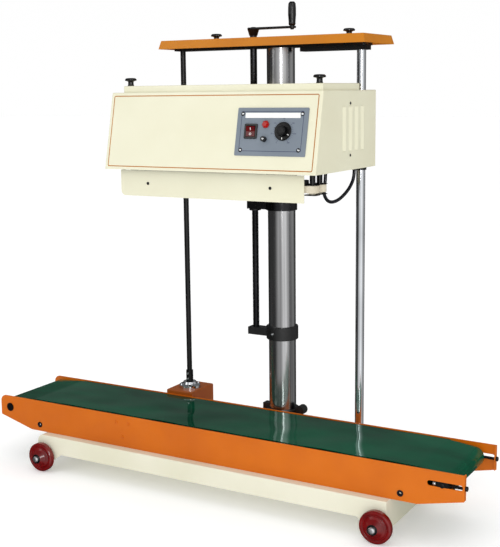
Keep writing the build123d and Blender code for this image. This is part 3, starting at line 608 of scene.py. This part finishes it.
# Each span is where a change in the surroundings starts and ends, and their brightness at both.
DOME_SPAN = (0.0, 1.0, 0.50, 1.05)
KEY_WALL_SPAN = (0.35, 0.95, 0.05, 0.80)
SIDE_WALL_SPAN = (0.35, 0.80, 0.0, 0.32)
UPPER_WALL_SPAN = (0.14, 0.24, 0.0, 0.10)
SURROUND_SPAN = (0.0, 0.2, 1.0, 0.99)


def make_world():
    """White surround for the eye, a soft dome for the light, and a dim room with bright sides to reflect."""
    world = bpy.data.worlds.new("studio")
    world.use_nodes = True
    bpy.context.scene.world = world
    tree = world.node_tree
    direction = new_node(tree, "TexCoord").outputs["Generated"]
    east, _, height = new_node(tree, "SeparateXYZ", direction).outputs
    towards = new_node(tree, "VectorMath", direction)
    towards.operation = "DOT_PRODUCT"
    towards.inputs[1].default_value = TOWARDS_KEY
    dome = map_range(tree, height, *DOME_SPAN, "SMOOTHSTEP")
    key_wall = map_range(tree, towards.outputs["Value"], *KEY_WALL_SPAN, "SMOOTHSTEP")
    side_wall = map_range(tree, east, *SIDE_WALL_SPAN, "SMOOTHSTEP")
    upper_wall = map_range(tree, height, *UPPER_WALL_SPAN, "SMOOTHSTEP")
    walls = new_node(tree, "Math", key_wall, side_wall).outputs["Value"]
    room = new_node(tree, "Math", walls, upper_wall).outputs["Value"]
    surround = map_range(tree, height, *SURROUND_SPAN, "SMOOTHSTEP")
    path = new_node(tree, "LightPath")
    shown = dome
    for ray, value in (("Is Glossy Ray", room), ("Is Camera Ray", surround)):
        mix = new_node(tree, "Mix")
        tree.links.new(path.outputs[ray], mix.inputs["Factor"])
        tree.links.new(shown, mix.inputs["A"])
        tree.links.new(value, mix.inputs["B"])
        shown = mix.outputs["Result"]
    tree.links.new(shown, tree.nodes["Background"].inputs["Color"])


def make_light(name, place, aim, power, shape, size):
    """Soft panel that points from its place to its aim."""
    data = bpy.data.lights.new(name, "AREA")
    data.energy = power
    data.shape = shape
    data.size, data.size_y = size
    light = linked(name, data)
    turn = (Vector(aim) - Vector(place)).to_track_quat("-Z", "Y").to_matrix().to_4x4()
    light.matrix_world = Matrix.Translation(place) @ turn


def make_stage():
    """Pale floor and plain soft light that is strongest from beside the camera."""
    make_world()
    bpy.context.scene.view_settings.view_transform = "Standard"
    shape = bmesh.new()
    bmesh.ops.create_grid(shape, x_segments=1, y_segments=1, size=40)
    floor = linked("floor", finished_mesh("floor", shape))
    floor.visible_glossy = False
    pale = Finish("floor_pale")
    pale.colour(pale.noise(0.7), (251, 251, 251), (253, 253, 253))
    pale.shader.inputs["Roughness"].default_value = 0.9
    pale.shader.inputs["Emission Color"].default_value = (1, 1, 1, 1)
    pale.shader.inputs["Emission Strength"].default_value = 0.2
    floor.data.materials.append(pale.material)
    aim = (middle("head_cover") + middle("conveyor_belt")) / 2
    make_light("key", KEY_PLACE, aim, KEY_POWER, "RECTANGLE", KEY_SIZE)
    make_light("fill", FILL_PLACE, aim, FILL_POWER, "DISK", FILL_SIZE)


# ---- wheels

WHEEL_SECTION = [
    (6.2, -10), (36, -10), (43.5, -7), (43.5, 6.5), (40, 9.8), (35.4, 9.8), (34.2, 8), (31.6, 8),
    (30.2, 10.2), (24.5, 12.6), (15.5, 21.5), (14, 23), (6.2, 23),
]
HUB_REACH = 23
CAP_SECTION = [(0, 1.9), (9.2, 1.9), (9.2, 5.6), (7.8, 7.9), (4.4, 8.95), (0, 9.1)]
RING_SECTION = [(6.3, 0.4), (13.6, 0.4), (14, 0.8), (14, 1.6), (13.6, 2), (6.3, 2)]
WASHER_SECTION = [(6.2, 0), (11, 0), (11, 2.3), (6.2, 2.3)]


def make_wheels():
    """Turned red wheels, each with a washer inside it, and a black thrust ring and a bright cap outside."""
    caps, rings, washers = bmesh.new(), bmesh.new(), bmesh.new()
    tray_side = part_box("base_tray")[1].y
    for name, joint in joints.items():
        if not name.startswith("wheel_"):
            continue
        node = name.removesuffix("_roll")
        centre = Vector(joint["pos_m"])
        side = 1 if centre.y > 0 else -1
        outward = (0, side, 0)
        shape = bmesh.new()
        lathe_into(shape, rounded(WHEEL_SECTION, 1.4), facing(centre, outward), around=96, ring=True)
        wheel = put(node + "_turned", shape, node, "red")
        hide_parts(node)
        hub = shifted(facing(centre, outward), 0, 0, HUB_REACH)
        lathe_into(caps, rounded(CAP_SECTION, 0.9), hub)
        lathe_into(rings, RING_SECTION, hub, ring=True)
        beside = Vector((centre.x, side * tray_side, centre.z))
        lathe_into(washers, WASHER_SECTION, facing(beside, outward), ring=True)
    cap_piece = put("axle_caps", caps, "root", "alloy")
    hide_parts("axle_nuts")
    put("thrust_rings", rings, "root", "bakelite")
    put("tray_washers", washers, "root", "zinc")


# ---- conveyor

BELT_THICKNESS = 2
BED_ENDS = (-625, 619)
BELT_STEP = 9
BELT_STRIPS = 30
RIPPLE_HEIGHT = 0.9


def tight_loop(circles, spacing, around=180):
    """Shortest loop round circles (x, z, radius), resampled at an even spacing."""
    points = []
    for x, z, radius in circles:
        points += arc(x, z, radius, 0, 2 * pi, around)[:-1]
    points.sort()
    halves = []
    for ordered in (points, points[::-1]):
        chain = []
        for point in ordered:
            while len(chain) > 1:
                (ax, ay), (bx, by) = chain[-2:]
                if (bx - ax) * (point[1] - ay) - (by - ay) * (point[0] - ax) > 0:
                    break
                chain.pop()
            chain.append(point)
        halves += chain[:-1]
    loop = []
    for start, end in zip(halves, halves[1:] + halves[:1]):
        pieces = max(1, round(hypot(end[0] - start[0], end[1] - start[1]) / spacing))
        for piece in range(pieces):
            share = piece / pieces
            loop.append((start[0] + (end[0] - start[0]) * share, start[1] + (end[1] - start[1]) * share))
    return loop


def ripple(x, y):
    """How far the slack upper run lifts off its bed."""
    along = x - BED_ENDS[0]
    fade = min(1, max(0, along / 60), max(0, (BED_ENDS[1] - x) / 60))
    wave = sin(x / 27 + 1.3 * sin(y / 31)) + 0.6 * sin(x / 41 - y / 38 + 1.0)
    return RIPPLE_HEIGHT * fade * (1 + wave / 1.6)


def make_belt():
    """The belt, in millimetres: closed round its rollers, with the faint waves of a slack upper run."""
    low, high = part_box("conveyor_belt")
    middle_line = (low.y + high.y) / 2 * 1000
    half_width = (high.y - low.y) * 500
    top, left, right = high.z * 1000, low.x * 1000, high.x * 1000
    circles = []
    for joint, reach in (("drive_roller_turn", left), ("tail_roller_turn", right)):
        x, _, z = joints[joint]["pos_m"]
        circles.append((x * 1000, z * 1000, abs(reach - x * 1000)))
    for x in BED_ENDS:
        circles.append((x, top - BELT_THICKNESS - 1, BELT_THICKNESS + 1))
    loop = tight_loop(circles, BELT_STEP)
    shape = bmesh.new()
    rows = []
    for here, (x, z) in enumerate(loop):
        before, after = loop[here - 1], loop[(here + 1) % len(loop)]
        slope = Vector((after[0] - before[0], after[1] - before[1])).normalized()
        in_x, in_z = -slope.y * BELT_THICKNESS, slope.x * BELT_THICKNESS
        row = []
        for skin_x, skin_z in ((x, z), (x + in_x, z + in_z)):
            side = []
            for strip in range(BELT_STRIPS + 1):
                y = middle_line - half_width + 2 * half_width * strip / BELT_STRIPS
                lift = ripple(x, y) if z > top - 2 else 0
                side.append(Vector((skin_x, y, skin_z + lift)) / 1000)
            row += side if not row else side[::-1]
        rows.append([shape.verts.new(point) for point in row])
    skin_into(shape, rows, looped=True)
    belt = put("belt_loop", shape, "root", "belt")
    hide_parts("conveyor_belt")


RAIL_SCREW_RADIUS = 5
GROMMET_PLACES = [-0.598, 0.5805]
GROMMET_SECTION = [
    (3.6, -4.2), (9.5, -4.2), (9.5, -3.1), (6.95, -3), (6.95, 0.2), (8.6, 0.3), (8.6, 1.2), (3.6, 1.2),
]


def make_rail_screws():
    """Painted button screws on the front rail, with their hexagon sockets."""
    low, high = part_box("frame_bolts")
    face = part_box("rail_front")[0].y
    inset = RAIL_SCREW_RADIUS / 1000
    shape = bmesh.new()
    for x, z in (
        (low.x + inset, high.z - inset),
        (high.x - inset, high.z - inset),
        ((low.x + high.x) / 2, low.z + inset),
    ):
        place = facing((x, face, z), FRONT)
        profile = rounded([(0, 0), (RAIL_SCREW_RADIUS, 0), (4.4, 1.5), (3, 2.4), (2.8, 2.4)], 0.8)
        screw_head_into(shape, place, profile, lambda angle: hexagon_reach(angle, 1.5), 1.3)
    piece = put("rail_screws", shape, "root", "orange")
    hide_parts("frame_bolts")


def make_rail_grommets():
    """Black grommets in the two holes of the front rail; their black fills most of each hole and is partly painted
    shade.
    """
    shape = bmesh.new()
    for mount in frame["record"]["mounts"]:
        if mount["name"] == "guide_rail_holes_front":
            _, y, z = mount["pos_m"]
            for x in GROMMET_PLACES:
                # The black rubber partly stands in for the shade inside each hole: painted shade.
                lathe_into(shape, GROMMET_SECTION, facing((x, y, z), FRONT), ring=True)
    put("rail_grommets", shape, "root", "rubber")


TAKE_UP_INSET = 0.0063
TAKE_UP_CORE = 3.4
TAKE_UP_CREST = 3.9
TAKE_UP_PITCH = 1.25
TAKE_UP_NUT_FLAT = 5.5


def make_take_up():
    """Adjusting screws, with heads outside the tabs and bright lock nuts inside, and the axle's ends."""
    low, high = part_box("take_up_screws")
    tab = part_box("rail_front")[1].x
    rods, nuts, ends = bmesh.new(), bmesh.new(), bmesh.new()
    axle = Vector(joints["tail_roller_turn"]["pos_m"])
    front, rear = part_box("take_up_blocks")
    for y, side, face in ((low.y + TAKE_UP_INSET, -1, front.y), (high.y - TAKE_UP_INSET, 1, rear.y)):
        place = facing((low.x, y, axle.z), ALONG)
        length = (tab - low.x) * 1000 + 1
        section = [(0, 0), (2.9, 0), (TAKE_UP_CORE, 0.6), (TAKE_UP_CORE, length), (0, length)]
        lathe_into(rods, section, place)
        thread_into(rods, place, TAKE_UP_CORE, TAKE_UP_CREST, TAKE_UP_PITCH, 0.6, length - 1, around=16)
        hex_head_into(rods, shifted(place, 0, 0, length - 0.8), TAKE_UP_NUT_FLAT, 5.8)
        hex_head_into(nuts, shifted(place, 0, 0, 3), TAKE_UP_NUT_FLAT, 6, bore=3.6)
        end = facing((axle.x, face, axle.z), (0, side, 0))
        lathe_into(ends, rounded([(0, 0), (6.2, 0), (6.2, 2.6), (4.8, 3.6), (0, 3.9)], 0.8), end)
    rod_piece = put("take_up_rods", rods, "root", "dark")
    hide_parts("take_up_screws")
    put("take_up_nuts", nuts, "root", "zinc")
    put("axle_ends", ends, "root", "black")


# ---- lower drive and feet

COUPLING_SCREW_INSETS = (0.008, 0.009)
FLANGE_BOLT_CIRCLE = 0.0268
FLANGE_STEP = 0.0112


def make_drive_screws():
    """Set screws of the coupling and cap screws of the flange bearing."""
    shaft = joints["shaft_turn"]["pos_m"]
    low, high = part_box("shaft_coupling")
    shape = bmesh.new()
    for z in (low.z + COUPLING_SCREW_INSETS[0], high.z - COUPLING_SCREW_INSETS[1]):
        place = facing((shaft[0], low.y + 0.0004, z), FRONT)
        socket_head_into(shape, place, 3.3, 2.2)
    put("coupling_screws", shape, "drive_shaft", "zinc")
    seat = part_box("shaft_flange")[0].z
    shape = bmesh.new()
    for x, y in polygon_outline(4, FLANGE_BOLT_CIRCLE, turn=pi / 4):
        socket_head_into(shape, facing((shaft[0] + x, shaft[1] + y, seat + FLANGE_STEP), UP), 3.2, 3.4)
    put("flange_screws", shape, "root", "zinc")


FOOT_PLATE_TOP = 12
FOOT_BOLT_PLACES = [(-58, -38), (-58, 38), (58, -38), (58, 38)]
FOOT_WASHER = 1.6
POST_FOOT_TOP = 10
POST_BOLT_CIRCLE = 25.5


def make_foot_bolts():
    """Hexagon bolts on washers in the column's foot, and cap screws in the post's foot."""
    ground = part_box("cast_feet")[0].z
    column, post = middle("column"), middle("guide_post")
    bolts, screws = bmesh.new(), bmesh.new()
    for x, y in FOOT_BOLT_PLACES:
        place = shifted(facing((column.x, column.y, ground), UP), x, y, FOOT_PLATE_TOP)
        lathe_into(bolts, [(0, 0), (9, 0), (9, FOOT_WASHER), (0, FOOT_WASHER)], place)
        hex_head_into(bolts, shifted(place, 0, 0, FOOT_WASHER), 6.5, 5.3)
    for x, y in polygon_outline(4, POST_BOLT_CIRCLE, turn=pi / 4):
        place = shifted(facing((post.x, post.y, ground), UP), x, y, POST_FOOT_TOP)
        socket_head_into(screws, place, 4.4, 5)
    put("foot_bolts", bolts, "root", "dark")
    put("post_foot_screws", screws, "root", "dark")


CLAMP_RADIUS = 47
CLAMP_SCREW_HEADING = -100


def make_clamp_screw():
    """Bright locking screw in the clamp ring."""
    centre = middle("column")
    low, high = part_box("column_clamp")
    heading = radians(CLAMP_SCREW_HEADING)
    outward = Vector((cos(heading), sin(heading), 0))
    spot = Vector((centre.x, centre.y, (low.z + high.z) / 2)) + outward * (CLAMP_RADIUS - 0.5) / 1000
    shape = bmesh.new()
    socket_head_into(shape, facing(spot, outward), 4.2, 3)
    put("clamp_screw", shape, "root", "zinc")


# ---- knobs, screw and crank

KNOB_CAP_RADIUS = 16


def hand_knob_section(height, stud):
    """Half section of a mushroom knob: stud, waisted stem and a crowned cap."""
    stem = [(0, -stud), (3.4, -stud), (4, 0.8 - stud), (4, 0), (9.4, 0), (8, 3), (7.4, height - 11)]
    rim = [(9.5, height - 8.8), (KNOB_CAP_RADIUS, height - 7.4), (KNOB_CAP_RADIUS, height - 3.6)]
    return rounded(stem + rim + [(12.5, height - 0.6), (6, height), (0, height)], 1.6)


def make_hand_knobs(node, body, height, stud):
    """A pair of knobs in the place of a CAD pair."""
    low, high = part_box(node)
    shape = bmesh.new()
    for x in (low.x + KNOB_CAP_RADIUS / 1000, high.x - KNOB_CAP_RADIUS / 1000):
        place = facing((x, (low.y + high.y) / 2, high.z - height / 1000), UP)
        flutes = (8, 0.9, KNOB_CAP_RADIUS - 2.5)
        lathe_into(shape, hand_knob_section(height, stud), place, around=96, flutes=flutes)
    piece = put(node + "_turned", shape, body, "bakelite")
    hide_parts(node)


SCREW_PITCH = 4
SCREW_CORE = 8.7
SCREW_CREST = 9.9
THREAD_LENGTH = 580


def make_lead_screw():
    """Rolled thread from the clamp to above the lid, and a plain shank over it."""
    low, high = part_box("lead_screw")
    place = facing((*joints["crank_turn"]["pos_m"][:2], low.z), UP)
    length = (high.z - low.z) * 1000
    shape = bmesh.new()
    section = [(0, 0), (SCREW_CORE, 0), (SCREW_CORE, THREAD_LENGTH), (SCREW_CREST, THREAD_LENGTH + 2)]
    lathe_into(shape, section + [(SCREW_CREST, length), (0, length)], place)
    thread_into(shape, place, SCREW_CORE, SCREW_CREST, SCREW_PITCH, 0, THREAD_LENGTH)
    piece = put("threaded_screw", shape, "crank", "dark")
    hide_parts("lead_screw")


ARM_THICKNESS = 5.6
ARM_EDGE = 0.8
HUB_BORE = 9.95
HUB_RADIUS = 17
ARM_END_RADIUS = 11
GRIP_GAP = 1.4
PIN_RADIUS = 4.95


def make_crank():
    """Tapered hub, flat arm with round ends, riveted pin, and the turned grip that spins on it."""
    axis = Vector(joints["crank_turn"]["pos_m"])
    pin = Vector(joints["grip_spin"]["pos_m"])
    low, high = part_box("crank_arm")
    grip_low, grip_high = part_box("crank_grip")
    hub = facing((axis.x, axis.y, low.z), UP)
    hub_height = (grip_low.z - low.z) * 1000 - ARM_THICKNESS - GRIP_GAP
    shape = bmesh.new()
    hub_top = [(15.6, hub_height - 3), (HUB_RADIUS, hub_height), (HUB_BORE, hub_height)]
    lathe_into(shape, [(HUB_BORE, 0), (11.5, 0), (12, 1), *hub_top], hub, around=64, ring=True)
    reach = (pin.x - axis.x) * 1000
    outline = bar_outline(reach, HUB_RADIUS, ARM_END_RADIUS)
    inner = bar_outline(reach, HUB_RADIUS - ARM_EDGE, ARM_END_RADIUS - ARM_EDGE)
    top = hub_height + ARM_THICKNESS
    loops = [(inner, hub_height), (outline, hub_height + ARM_EDGE), (outline, top - ARM_EDGE), (inner, top)]
    loft_into(shape, loops, hub)
    rivet = shifted(hub, reach, 0, 0)
    pin_top = (high.z - low.z) * 1000
    rivet_section = [(0, -4.4), (3.8, -4), (5.5, -2.6), (5.5, 0.5), (0, 0.5)]
    lathe_into(shape, rivet_section, shifted(rivet, 0, 0, hub_height))
    collar = [(0, top - 0.5), (7.2, top - 0.5), (7.2, top + 1.2), (PIN_RADIUS, top + 1.2)]
    lathe_into(shape, collar + [(PIN_RADIUS, pin_top), (0, pin_top)], rivet)
    screw_end = [(0, top - 0.5), (7.5, top - 0.5), (7, top + 1.4), (3, top + 2), (0, top + 2)]
    lathe_into(shape, rounded(screw_end, 0.6), hub)
    piece = put("crank_handle", shape, "crank", "black")
    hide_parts("crank_arm")
    height = (grip_high.z - grip_low.z) * 1000
    foot = [(5.05, 0), (7.6, 0), (9.2, 1.8), (10, 5), (9.6, 8), (11.2, 30), (11, 48)]
    section = rounded(foot + [(10, height - 5), (6.4, height), (5.05, height)], 1.4)
    shape = bmesh.new()
    lathe_into(shape, section, facing((pin.x, pin.y, grip_low.z), UP), around=64, ring=True)
    grip = put("grip_turned", shape, "grip", "bakelite")
    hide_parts("crank_grip")


# ---- head

DIAL_STAND_OFF = 0.003
PLATE_TOP = 2
PLATE_MIDDLE = (215, 108)
ROCKER_MIDDLE = (156, 109)
STRIPE_MIDDLE = (23.5, 106.7)
STRIPE_SIZE = (637, 197.5)
STRIPE_RADIUS = 5
STRIPE_WIDTH = 2.6


def front_frame():
    """Frame in millimetres on the head's sloped front: X along the machine, Y up from the bottom edge."""
    dial = joints["dial_turn"]
    normal = Vector(dial["axis"])
    up_slope = normal.cross(ALONG)
    surface = Vector(dial["pos_m"]) - DIAL_STAND_OFF * normal
    climb = (surface.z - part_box("head_cover")[0].z) / up_slope.z
    corner = surface - climb * up_slope
    corner.x = 0
    return facing(corner, normal)


def make_pinstripe(front):
    """Thin painted line round the sloped front."""
    shape = bmesh.new()
    place = shifted(front, *STRIPE_MIDDLE, 0)
    frame_into(shape, *STRIPE_SIZE, STRIPE_RADIUS, STRIPE_WIDTH, -0.1, 0.12, place)
    put("pinstripe", shape, "head", "stripe")


def number_mesh(text, size, place):
    """Flat raised figures, centred on a place."""
    data = bpy.data.curves.new("figures", "FONT")
    data.body = text
    data.size = size
    data.extrude = 0.05
    data.align_x = "CENTER"
    data.align_y = "CENTER"
    figures = bpy.data.objects.new("figures", data)
    mesh = bpy.data.meshes.new_from_object(figures)
    mesh.transform(place)
    bpy.data.objects.remove(figures)
    return mesh


DIAL_HEIGHT = 109.5
DIAL_TICKS = 31
DIAL_SWEEP = radians(300)
DIAL_FIGURES = ["0", "50", "100", "150", "200", "250", "300"]
PRINT_FRAME_SIZE = (181, 104)
PRINT_LINE = 1.3
INK = (-0.05, 0.08)
BLANK_STRIP_SIZE = (160, 13)


def scale_angle(share):
    """Direction of a mark on the dial's scale, from the first mark at 0 to the last at 1."""
    return pi / 2 + DIAL_SWEEP / 2 - DIAL_SWEEP * share


def make_panel_print(front):
    """Frame line, dial scale and blank white strip printed on the control plate."""
    plate = shifted(front, *PLATE_MIDDLE, PLATE_TOP)
    dial_x = joints["dial_turn"]["pos_m"][0] * 1000
    dial = shifted(front, dial_x, DIAL_HEIGHT, PLATE_TOP)
    shape = bmesh.new()
    frame_into(shape, *PRINT_FRAME_SIZE, 3, PRINT_LINE, *INK, shifted(plate, -0.5, 1.5, 0))
    for tick in range(DIAL_TICKS):
        length, reach = (3.6, 28.2) if tick % 5 == 0 else (2.2, 27.6)
        spot = dial @ Matrix.Rotation(scale_angle(tick / (DIAL_TICKS - 1)), 4, "Z")
        bar = rectangle_outline(length, 0.9, 0.1, steps=1)
        loft_into(shape, [(bar, INK[0]), (bar, INK[1])], shifted(spot, reach, 0, 0))
    for index, text in enumerate(DIAL_FIGURES):
        angle = scale_angle(index / (len(DIAL_FIGURES) - 1))
        spot = shifted(dial, 34 * cos(angle), 33 * sin(angle), 0.02)
        shape.from_mesh(number_mesh(text, 5.2, spot))
    put("panel_print", shape, "head", "panel_ink", smooth=False)
    shape = bmesh.new()
    strip = rectangle_outline(*BLANK_STRIP_SIZE, 0.6, steps=2)
    loft_into(shape, [(strip, -0.05), (strip, 0.15)], shifted(plate, 0.5, 42.5, 0))
    put("blank_strip", shape, "head", "label")


PANEL_SCREWS = [(-87.4, 46.4), (85.6, 46.4), (-86, -47.6), (83, -46)]


def make_panel_screws(front):
    """Four bright pan heads, each on a black washer whose dark ring is partly painted shade round the head."""
    plate = shifted(front, *PLATE_MIDDLE, PLATE_TOP)
    heads, washers = bmesh.new(), bmesh.new()
    for x, y in PANEL_SCREWS:
        # Black washers under the heads: partly washers, partly a painted shadow ring round each head.
        lathe_into(washers, [(0, -0.1), (5.6, -0.1), (5.6, 0.4), (5, 0.8), (0, 0.8)], shifted(plate, x, y, 0))
        pan_head_into(heads, shifted(plate, x, y, 0.7), 3.9, 2.2)
    put("panel_screws", heads, "head", "zinc")
    put("panel_washers_and_shade", washers, "head", "black")


ROCKER_TILT = radians(14)
BEZEL_SIZE = (37.8, 38.8)
BEZEL_RADIUS = 3
BEZEL_BORDER = 5.6
BEZEL_TOP = 3.7


def make_switch(front):
    """Black bezel round the rocker, and the marks on its two halves."""
    shape = bmesh.new()
    place = shifted(front, *ROCKER_MIDDLE, PLATE_TOP)
    frame_into(shape, *BEZEL_SIZE, BEZEL_RADIUS, BEZEL_BORDER, -0.2, BEZEL_TOP, place, edge=0.9)
    put("switch_bezel", shape, "head", "bakelite")
    pivot = facing(joints["rocker_rock"]["pos_m"], joints["dial_turn"]["axis"])
    shape = bmesh.new()
    circle = [(2.1, 4.3), (3.2, 4.3), (3.2, 4.62), (2.1, 4.62)]
    lathe_into(shape, circle, shifted(pivot, 0, -7.2, 0), ring=True)
    upper = shifted(pivot, 0, 5.8, 6.05) @ Matrix.Rotation(ROCKER_TILT, 4, "X")
    bar = rectangle_outline(1.7, 6.4, 0.5, steps=3)
    loft_into(shape, [(bar, -0.2), (bar, 0.16)], upper)
    put("switch_marks", shape, "rocker", "label")


LENS_LEVELS = [(10.5, 0), (10.5, 3.6), (9.9, 4.6), (7.2, 8.0), (6.6, 8.4)]


def make_lamp(front):
    """Hexagonal faceted lens of the pilot lamp."""
    shape = bmesh.new()
    local = front.inverted() @ middle("pilot_lamp")
    place = shifted(front, local.x, local.y, PLATE_TOP) @ Matrix.Rotation(radians(8), 4, "Z")
    loft_into(shape, [(polygon_outline(6, radius), height) for radius, height in LENS_LEVELS], place)
    lens = put("lamp_facets", shape, "head", "lens", smooth=False)
    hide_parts("pilot_lamp")


POINTER_HEADING = radians(160)
# The first heading is the white index mark at six o'clock; the second, at about four o'clock, is a painted
# highlight of the glossy knob, drawn as a white mark.
INDEX_AND_HIGHLIGHT_HEADINGS = (0, radians(62))


def make_dial():
    """Skirted dial with a pointer nub and a fluted grip, its white index mark, and a second white mark that is a
    painted highlight.
    """
    joint = joints["dial_turn"]
    place = facing(joint["pos_m"], joint["axis"])
    shape = bmesh.new()
    skirt = [(0, -0.4), (23.2, -0.4), (24, 0.4), (24, 1.8), (22.6, 3), (15, 3.4), (0, 3.4)]
    lathe_into(shape, rounded(skirt, 0.6), place, around=96)
    grip = [(0, 3), (14.4, 3), (13.9, 5), (13.2, 14.5), (12, 15.9), (9.5, 16), (9, 15.4), (0, 15.4)]
    lathe_into(shape, rounded(grip, 0.7), place, around=96, flutes=(16, 0.8, 12.5))
    nub = shifted(place @ Matrix.Rotation(POINTER_HEADING, 4, "Z"), 22.5, 0, 0)
    wedge = [(-3, -3.4), (2.6, -1.1), (3.6, 0), (2.6, 1.1), (-3, 3.4)]
    loft_into(shape, [(wedge, -0.3), (wedge, 2.4)], nub)
    lathe_into(shape, [(0, -8), (2.9, -8), (2.9, 0), (0, 0)], place, around=24)
    dial = put("dial_turned", shape, "dial", "knob")
    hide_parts("temperature_dial")
    shape = bmesh.new()
    bar = rectangle_outline(1.9, 5.0, 0.6, steps=3)
    # White marks: the real index, and a painted highlight.
    for heading in INDEX_AND_HIGHLIGHT_HEADINGS:
        turned = place @ Matrix.Rotation(heading, 4, "Z")
        loft_into(shape, [(bar, 2.8), (bar, 3.6)], shifted(turned, 0, -18.6, 0))
    put("dial_index_and_painted_highlight", shape, "dial", "label")


def make_speed_knob():
    """Small fluted knob with a bright inlay."""
    joint = joints["knob_turn"]
    place = facing(joint["pos_m"], joint["axis"])
    shape = bmesh.new()
    side = [(0, 0.2), (7.2, 0.2), (7.2, 1.6), (6.6, 2.2), (6.5, 11)]
    section = rounded(side + [(5.6, 12), (4.2, 12), (4, 11.6), (0, 11.6)], 0.5)
    lathe_into(shape, section, place, around=72, flutes=(12, 0.5, 6.2))
    lathe_into(shape, [(0, -8), (2.9, -8), (2.9, 1), (0, 1)], place, around=24)
    knob = put("speed_knob_turned", shape, "knob", "bakelite")
    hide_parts("speed_knob")
    shape = bmesh.new()
    lathe_into(shape, [(0, 11), (3.7, 11), (3.7, 11.9), (3.3, 12.2), (0, 12.3)], place, around=36)
    put("knob_inlay", shape, "knob", "zinc")


GUARD_SCREWS = [-0.1755, 0.209]
SIDE_SCREWS = [1.095, 0.959]


def make_head_screws():
    """Dark screws in the guard and in the right side of the cover."""
    shape = bmesh.new()
    guard_low, guard_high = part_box("lower_guard")
    screw_z = (guard_low.z + guard_high.z) / 2
    for x in GUARD_SCREWS:
        pan_head_into(shape, facing((x, guard_low.y, screw_z), FRONT), 4.2, 2.4)
    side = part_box("head_cover")[1].x - 0.005
    for z in SIDE_SCREWS:
        pan_head_into(shape, facing((side, 0, z), ALONG), 3.8, 2.2)
    put("cover_screws", shape, "head", "dark")


ARM_PLATE = 1.6


def make_infeed_arms():
    """Black plates above and below each infeed pulley, and a spacer block beside the front housing."""
    shape = bmesh.new()
    plate = rectangle_outline(38, 34, 8)
    belts_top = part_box("guide_belts")[1].z
    for row, side in (("front", -1), ("rear", 1)):
        x, y, _ = joints[f"infeed_{row}_turn"]["pos_m"]
        for z in (belts_top + 0.0014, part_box(f"guide_pulley_{row}")[0].z - 0.0018):
            place = facing((x - 0.002, y + side * 0.0008, z), UP)
            slab_into(shape, plate, 0, ARM_PLATE, place, 0.4)
    x, y, _ = joints["infeed_front_turn"]["pos_m"]
    block = rectangle_outline(12, 18, 2)
    slab_into(shape, block, 0, 11, facing((x - 0.020, y, belts_top + 0.0030), UP), 0.8)
    put("infeed_arms", shape, "head", "black")


def make_cable_grommets():
    """Rubber bushes where the cable goes through the head's base plate."""
    shape = bmesh.new()
    section = [(4.7, -5), (6.2, -5), (7.6, -3.6), (8.4, 0.2), (4.7, 0.2)]
    for place in (CABLE_ROUTE[0], CABLE_ROUTE[-1]):
        lathe_into(shape, rounded(section, 0.8), facing(place, UP), ring=True)
    put("cable_grommets", shape, "head", "rubber")


# ---- build

make_camera()
cable = make_cable()
finishes.update(make_materials())
finish_cad_nodes()
make_stage()
make_wheels()
make_belt()
make_rail_screws()
make_rail_grommets()
make_take_up()
make_drive_screws()
make_foot_bolts()
make_clamp_screw()
make_hand_knobs("cover_knobs", "root", height=19, stud=26)
make_hand_knobs("lid_knobs", "head", height=22, stud=28)
make_lead_screw()
make_crank()
head_front = front_frame()
make_pinstripe(head_front)
make_panel_print(head_front)
make_panel_screws(head_front)
make_switch(head_front)
make_lamp(head_front)
make_dial()
make_speed_knob()
make_head_screws()
make_infeed_arms()
make_cable_grommets()

cable.data.materials.append(finishes["rubber"])
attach(cable, "head")
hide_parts("link_cable")
